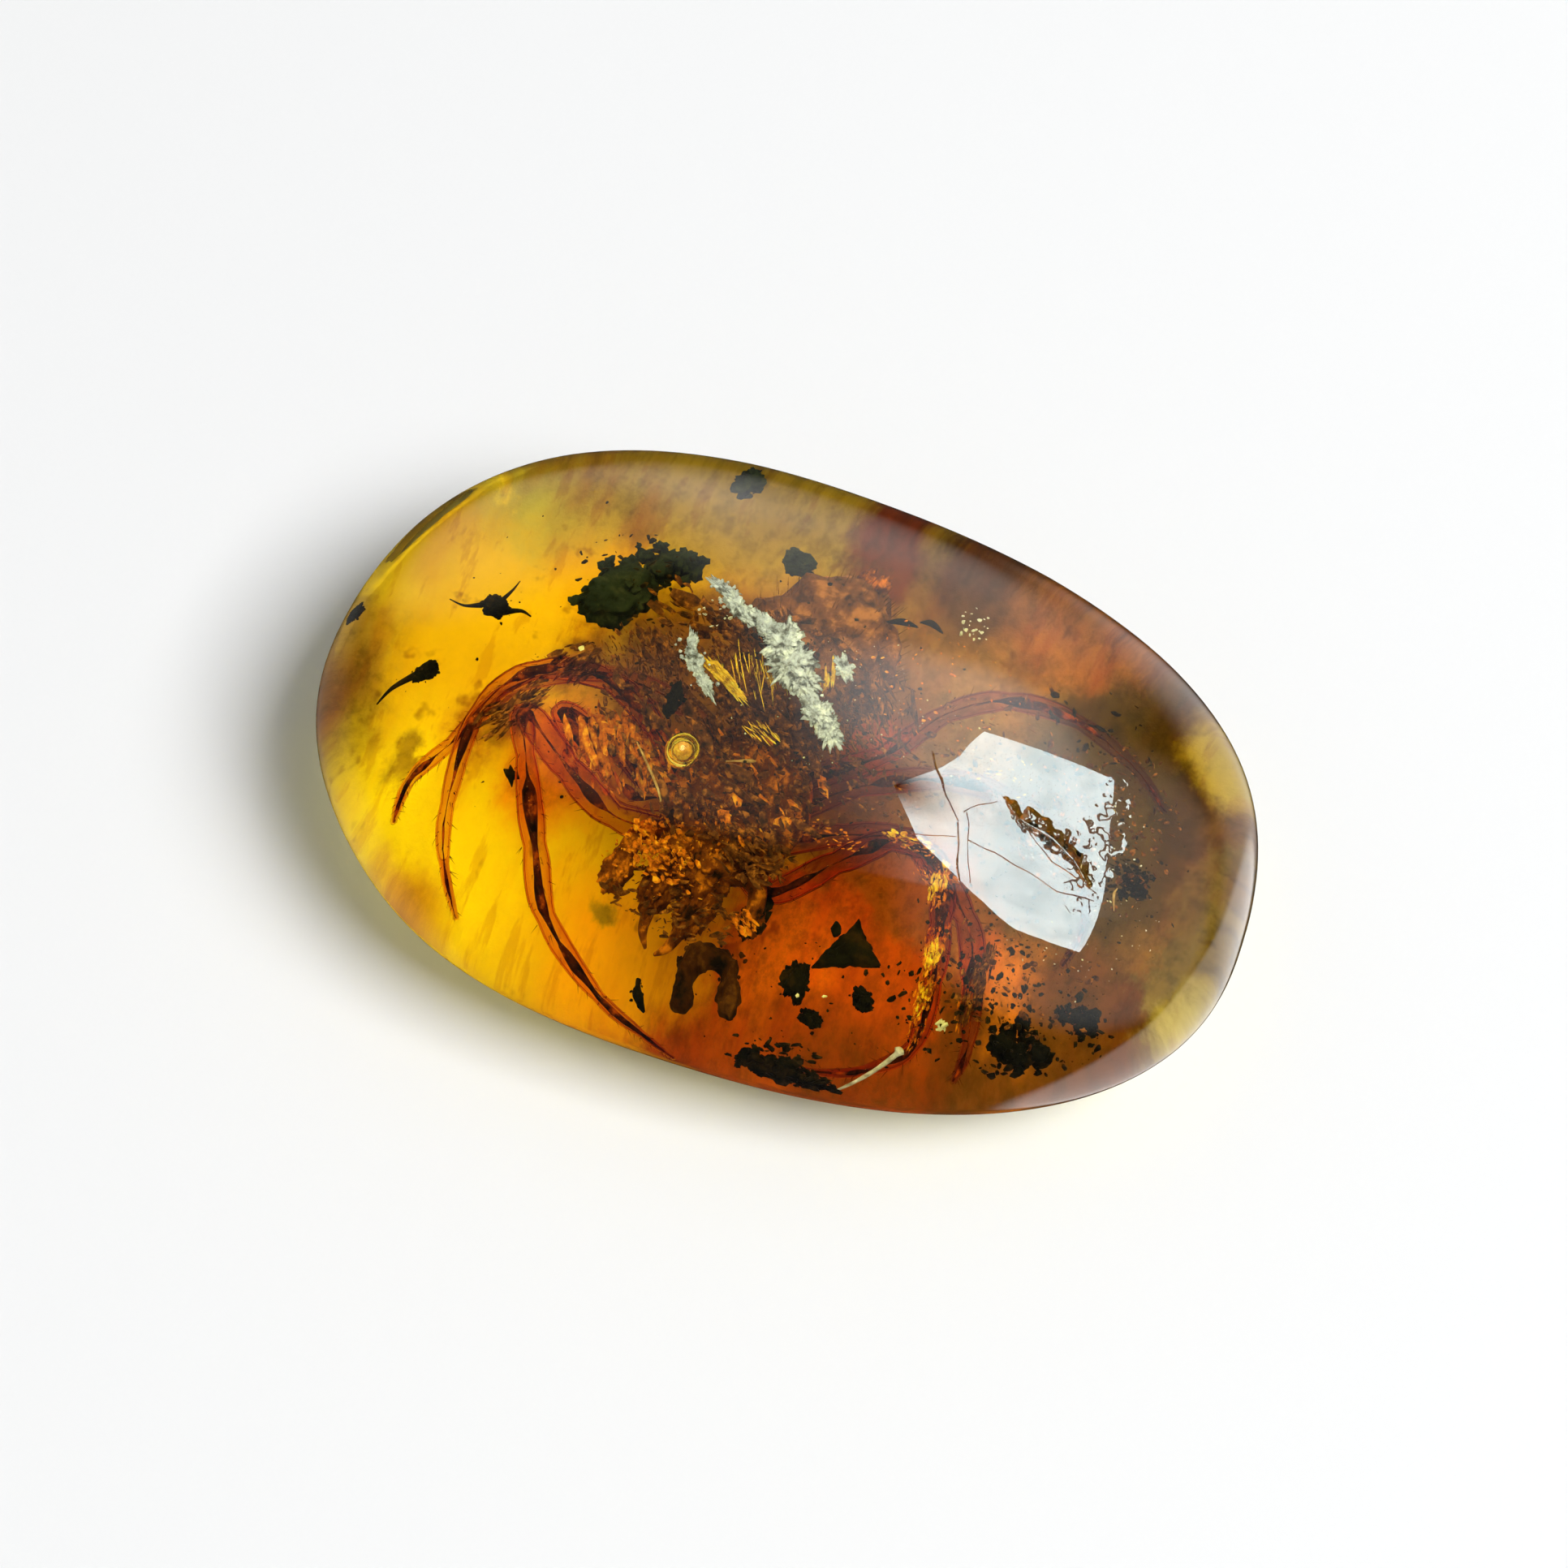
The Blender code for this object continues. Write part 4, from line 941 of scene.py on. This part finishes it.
def cleft_reach(place):
    """How far off the cleft and how far along it a point lies, in plan."""
    best = (1e9, 0.0)
    for count, (start, end) in enumerate(zip(CLEFT, CLEFT[1:])):
        start, end = Vector(start) * MM, Vector(end) * MM
        along = (place.xy - start).dot(end - start) / (end - start).length_squared
        along = min(max(along, 0.0), 1.0)
        off = (place.xy - start.lerp(end, along)).length
        best = min(best, (off, (count + along) / (len(CLEFT) - 1)))
    return best


amber = clear_material("polished_amber", (0.995, 0.9, 0.0), 200.0, 1.54, roughness=0.01)
tree = amber.node_tree
# The underside is ground flat but not polished.
where = new_node("TexCoord", {})["Object"]
ground = rise_between(new_node("SeparateXYZ", {"Vector": where})["Z"], GROUND_ABOVE, GROUND_BELOW)
matt = math_node("MULTIPLY_ADD", ground, 0.45, 0.008)
# Hairline scratches over the dome, and pits where grains were torn out of the skin.
plan = vector_node("MULTIPLY", where, Vector((1.0, 1.0, 0.0)))
jitter = noise_node(plan, 900.0, 0.0, 0.5)["Color"]
jitter = vector_node("MULTIPLY", jitter, Vector((SCRATCH_JITTER, SCRATCH_JITTER, 0.0)))
bent = vector_node("ADD", plan, jitter)
bent = vector_node("SUBTRACT", bent, Vector((SCRATCH_JITTER / 2.0, SCRATCH_JITTER / 2.0, 0.0)))
relief = None
for start, end, half_width in SCRATCHES:
    start, end = Vector((*start, 0.0)) * MM, Vector((*end, 0.0)) * MM
    off = vector_node("SUBTRACT", bent, start)
    along = vector_node("DOT_PRODUCT", off, (end - start) / (end - start).length_squared)
    along = math_node("MINIMUM", math_node("MAXIMUM", along, 0.0), 1.0)
    nearest = new_node("VectorMath", {0: end - start, "Scale": along}, operation="SCALE")["Vector"]
    groove = rise_between(vector_node("DISTANCE", off, nearest), half_width * MM, 0.0)
    groove = math_node("MULTIPLY", groove, SCRATCH_SHARE)
    relief = groove if relief is None else math_node("MAXIMUM", relief, groove)
(x, y), (half_x, half_y) = PIT_FIELD
torn = vector_node("SUBTRACT", plan, Vector((x, y, 0.0)) * MM)
torn = vector_node("DIVIDE", torn, Vector((half_x * MM, half_y * MM, 1.0)))
torn = rise_between(vector_node("DISTANCE", torn, Vector()), 1.0, 0.4)
pits = rise_between(noise_node(plan, 2200.0, 1.0, 0.6)["Fac"], 0.52, 0.62)
pits = math_node("MULTIPLY", torn, math_node("MULTIPLY", pits, PIT_SHARE))
relief = {"Strength": 1.0, "Distance": SCRATCH_DEPTH, "Height": math_node("MAXIMUM", relief, pits)}
worn = new_node("Bump", relief, invert=True)["Normal"]
feed(tree.nodes["Principled BSDF"], {"Roughness": matt, "Normal": worn})

bm = bmesh.new()
bmesh.ops.create_uvsphere(bm, u_segments=STONE_SEGMENTS, v_segments=STONE_RINGS, radius=1.0)
for _ in range(CLEFT_CUTS):
    near = []
    for edge in bm.edges:
        way = edge.verts[0].co.normalized()
        if way.z > 0.0 and cleft_reach(stone_point(way))[0] < CLEFT_MARGIN:
            near.append(edge)
    bmesh.ops.subdivide_edges(bm, edges=near, cuts=1, use_grid_fill=True)
for vert in bm.verts:
    way = vert.co.normalized()
    place = stone_point(way)
    wave = HAND_POLISH * noise.noise(place * POLISH_PITCH)
    if place.z > POLISHED_ABOVE:
        place -= place.normalized() * abs(wave)
    if way.z > 0.0:
        off, along = cleft_reach(place)
        open_width = CLEFT_WIDTH * math.sin(math.pi * min(max(along, 0.03), 0.97)) ** 0.7
        open_width *= 1.0 + 1.2 * noise.fractal(place * 2200.0, 0.5, 2.1, 4)
        if off < open_width:
            place.z -= CLEFT_DEPTH * (1.0 - off / open_width) ** 0.6
    vert.co = place
bmesh.ops.recalc_face_normals(bm, faces=bm.faces)
bubble = bmesh.new()
place = Matrix.Translation(Vector(BUBBLE) * MM)
bmesh.ops.create_icosphere(bubble, subdivisions=4, radius=BUBBLE_RADIUS, matrix=place)
bmesh.ops.recalc_face_normals(bubble, faces=bubble.faces)
bmesh.ops.reverse_faces(bubble, faces=bubble.faces)
take_in(bm, bubble)
stone = finished("amber_stone", bm, amber)
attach(stone, "root")
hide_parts("amber_top", "amber_bottom")

# --- Floor, light and camera ---
# A pale matt floor, a soft key light from the upper right, a window that shows in the polish,
# and a pale room round it all.
FLOOR_HALF = 3.0
FLOOR_DROP = 0.05 * MM
paper, tree, shader = new_material("pale_floor")
feed(shader, {"Base Color": (0.88, 0.88, 0.88), "Roughness": 0.9})
bm = bmesh.new()
bmesh.ops.create_grid(bm, x_segments=1, y_segments=1, size=FLOOR_HALF)
bmesh.ops.translate(bm, verts=bm.verts, vec=(0.0, 0.0, -FLOOR_DROP))
floor = finished("floor", bm, paper, smooth=False)
floor.visible_glossy = False

KEY_WAY = Vector((0.58, -0.06, 0.81)).normalized()
KEY_DISTANCE, KEY_SIZE, KEY_ENERGY = 1.1, 0.55, 12.9
key_data = bpy.data.lights.new("key", "AREA")
key_data.shape = "SQUARE"
key_data.size = KEY_SIZE
key_data.energy = KEY_ENERGY
key = bpy.data.objects.new("key", key_data)
turn = KEY_WAY.to_track_quat("Z", "Y").to_matrix().to_4x4()
key.matrix_world = Matrix.Translation(KEY_WAY * KEY_DISTANCE) @ turn
key.visible_glossy = key.visible_transmission = key.visible_camera = False
bpy.context.scene.collection.objects.link(key)

# The window: the points of the polish where its corners show, and the ways that they mirror.
WINDOW = (
    ((4.8, -2.3, 12.2), (0.04, 0.24, 0.97)),
    ((7.3, 1.1, 11.9), (0.17, 0.53, 0.83)),
    ((11.8, 1.6, 10.7), (0.48, 0.58, 0.65)),
    ((12.9, -4.9, 9.6), (0.7, -0.22, 0.68)),
    ((10.5, -5.3, 10.4), (0.47, -0.24, 0.85)),
    ((8.6, -4.8, 11.1), (0.3, -0.13, 0.95)),
    ((6.35, -3.75, 11.8), (0.135, 0.045, 0.99)),
)
WINDOW_DISTANCE = 0.4
WINDOW_GLOW, WINDOW_FADE = 17.4, 0.075  # it is dimmer near its first corner
pane, tree, shader = new_material("window_glow")
where = new_node("TexCoord", {})["Object"]
haze = rise_between(noise_node(where, 22.0, 3.0, 0.5)["Fac"], 0.35, 0.6)
facing = sum((Vector(way) for _, way in WINDOW), Vector()).normalized()
bm = bmesh.new()
for place, way in WINDOW:
    place, way = Vector(place) * MM, Vector(way)
    bm.verts.new(place + way * (facing * WINDOW_DISTANCE - place).dot(facing) / way.dot(facing))
bm.verts.ensure_lookup_table()
fade = rise_between(vector_node("DISTANCE", where, bm.verts[0].co.copy()), 0.0, WINDOW_FADE)
feed(shader, {
    "Base Color": (0.0, 0.0, 0.0), "Emission Color": blended(haze, (0.66, 0.82, 0.86), (0.82, 0.97, 1.0)),
    "Emission Strength": math_node("MULTIPLY", fade, WINDOW_GLOW),
})
bmesh.ops.contextual_create(bm, geom=bm.verts)
window = finished("window", bm, pane, smooth=False)
window.visible_diffuse = window.visible_transmission = window.visible_camera = window.visible_shadow = False

# The room: a plain glow for most rays, pale bands for mirrored rays and for rays through the stone.
ROOM_GLOW = 0.32
MIRRORED_GLOW = 0.03
VEIL = (
    # way, the cosines where a band starts and is full, strength; these four are multiplied
    ((-0.312, 0.919, 0.236), -0.01, 0.02, 1.0), ((0.9, 0.43, 0.0), -0.1, 0.15, 1.5),
    ((0.9, 0.43, 0.0), 0.8, 0.45, 1.0), ((0.0, 0.0, 1.0), -0.35, 0.25, 1.0),
)
MIRRORED_BANDS = (
    ((0.12, 0.55, 0.83), 0.945, 0.99, 2.8), ((-0.3, 0.12, 0.94), 0.9, 0.97, 0.42),
    ((0.82, 0.0, 0.57), 0.62, 0.82, 1.1), ((-0.62, 0.75, 0.2), 0.86, 0.97, 0.7),
    ((0.7, 0.05, -0.71), 0.79, 0.84, 1.85), ((-0.25, 0.97, -0.05), 0.93, 0.995, 0.35),
    ((-0.8, -0.05, -0.6), 0.8, 0.95, 0.22), ((0.5, 0.75, -0.4), 0.8, 0.97, 1.2),
)
THROUGH_GLOW = 0.16
THROUGH_BANDS = (((-0.12, -0.05, 0.99), 0.86, 0.97, 12.5), ((0.1, 0.75, 0.65), 0.2, 0.9, 2.0))
SECOND_BOUNCE_LOSS = 0.85  # light passed on by the stone is dimmer for the floor's second bounce
world = bpy.data.worlds.new("studio")
bpy.context.scene.world = world
world.use_nodes = True
tree = world.node_tree
sky_way = new_node("TexCoord", {})["Generated"]
light_path = new_node("LightPath", {})


def joined(operation, total, bands):
    """Adds bands of sky to a value, or multiplies it by them."""
    for way, low, high, gain in bands:
        facing = vector_node("DOT_PRODUCT", sky_way, Vector(way).normalized())
        band = rise_between(facing, low, high, gain)
        total = band if total is None else math_node(operation, total, band)
    return total


def sky(strength):
    """A colourless sky of some strength."""
    return new_node("Background", {"Strength": strength})["Background"]


def by_ray(kind, others, chosen):
    """One sky for a kind of ray and another for the others."""
    return new_node("MixShader", {0: light_path[kind], 1: others, 2: chosen})["Shader"]


veiled = math_node("ADD", MIRRORED_GLOW, joined("MULTIPLY", None, VEIL))
mirrored = sky(joined("ADD", veiled, MIRRORED_BANDS))
onward = math_node("GREATER_THAN", light_path["Diffuse Depth"], 1.5)
onward = math_node("MULTIPLY_ADD", onward, -SECOND_BOUNCE_LOSS, 1.0)
through = sky(math_node("MULTIPLY", onward, joined("ADD", THROUGH_GLOW, THROUGH_BANDS)))
seen = by_ray("Is Transmission Ray", by_ray("Is Glossy Ray", sky(ROOM_GLOW), mirrored), through)
feed(tree.nodes["World Output"], {"Surface": seen})

AZIMUTH, ELEVATION, DISTANCE = math.radians(21.35), math.radians(62.0), 161.55 * MM
LENS, SENSOR = 100.0, 36.0  # mm
IMAGE_SIDE = 1932.0
SHIFT = (-7.0, -12.7)  # of the image's pixels
AIM_SHARE = 0.45  # how high on the stone the camera aims
back = Vector((
    math.sin(AZIMUTH) * math.cos(ELEVATION), -math.cos(AZIMUTH) * math.cos(ELEVATION), math.sin(ELEVATION)
))
right = Vector((math.cos(AZIMUTH), math.sin(AZIMUTH), 0.0))
up = back.cross(right)
camera_data = bpy.data.cameras.new("camera")
camera_data.lens = LENS
camera_data.sensor_width = SENSOR
camera_data.shift_x, camera_data.shift_y = (shift / IMAGE_SIDE for shift in SHIFT)
camera_data.clip_start = 5.0 * MM
camera = bpy.data.objects.new("camera", camera_data)
turn = Matrix((right, up, back)).transposed().to_4x4()
camera.matrix_world = Matrix.Translation(Vector((0.0, 0.0, AIM_SHARE * HEIGHT)) + back * DISTANCE) @ turn
bpy.context.scene.collection.objects.link(camera)
bpy.context.scene.camera = camera
bpy.context.scene.view_settings.view_transform = "Standard"
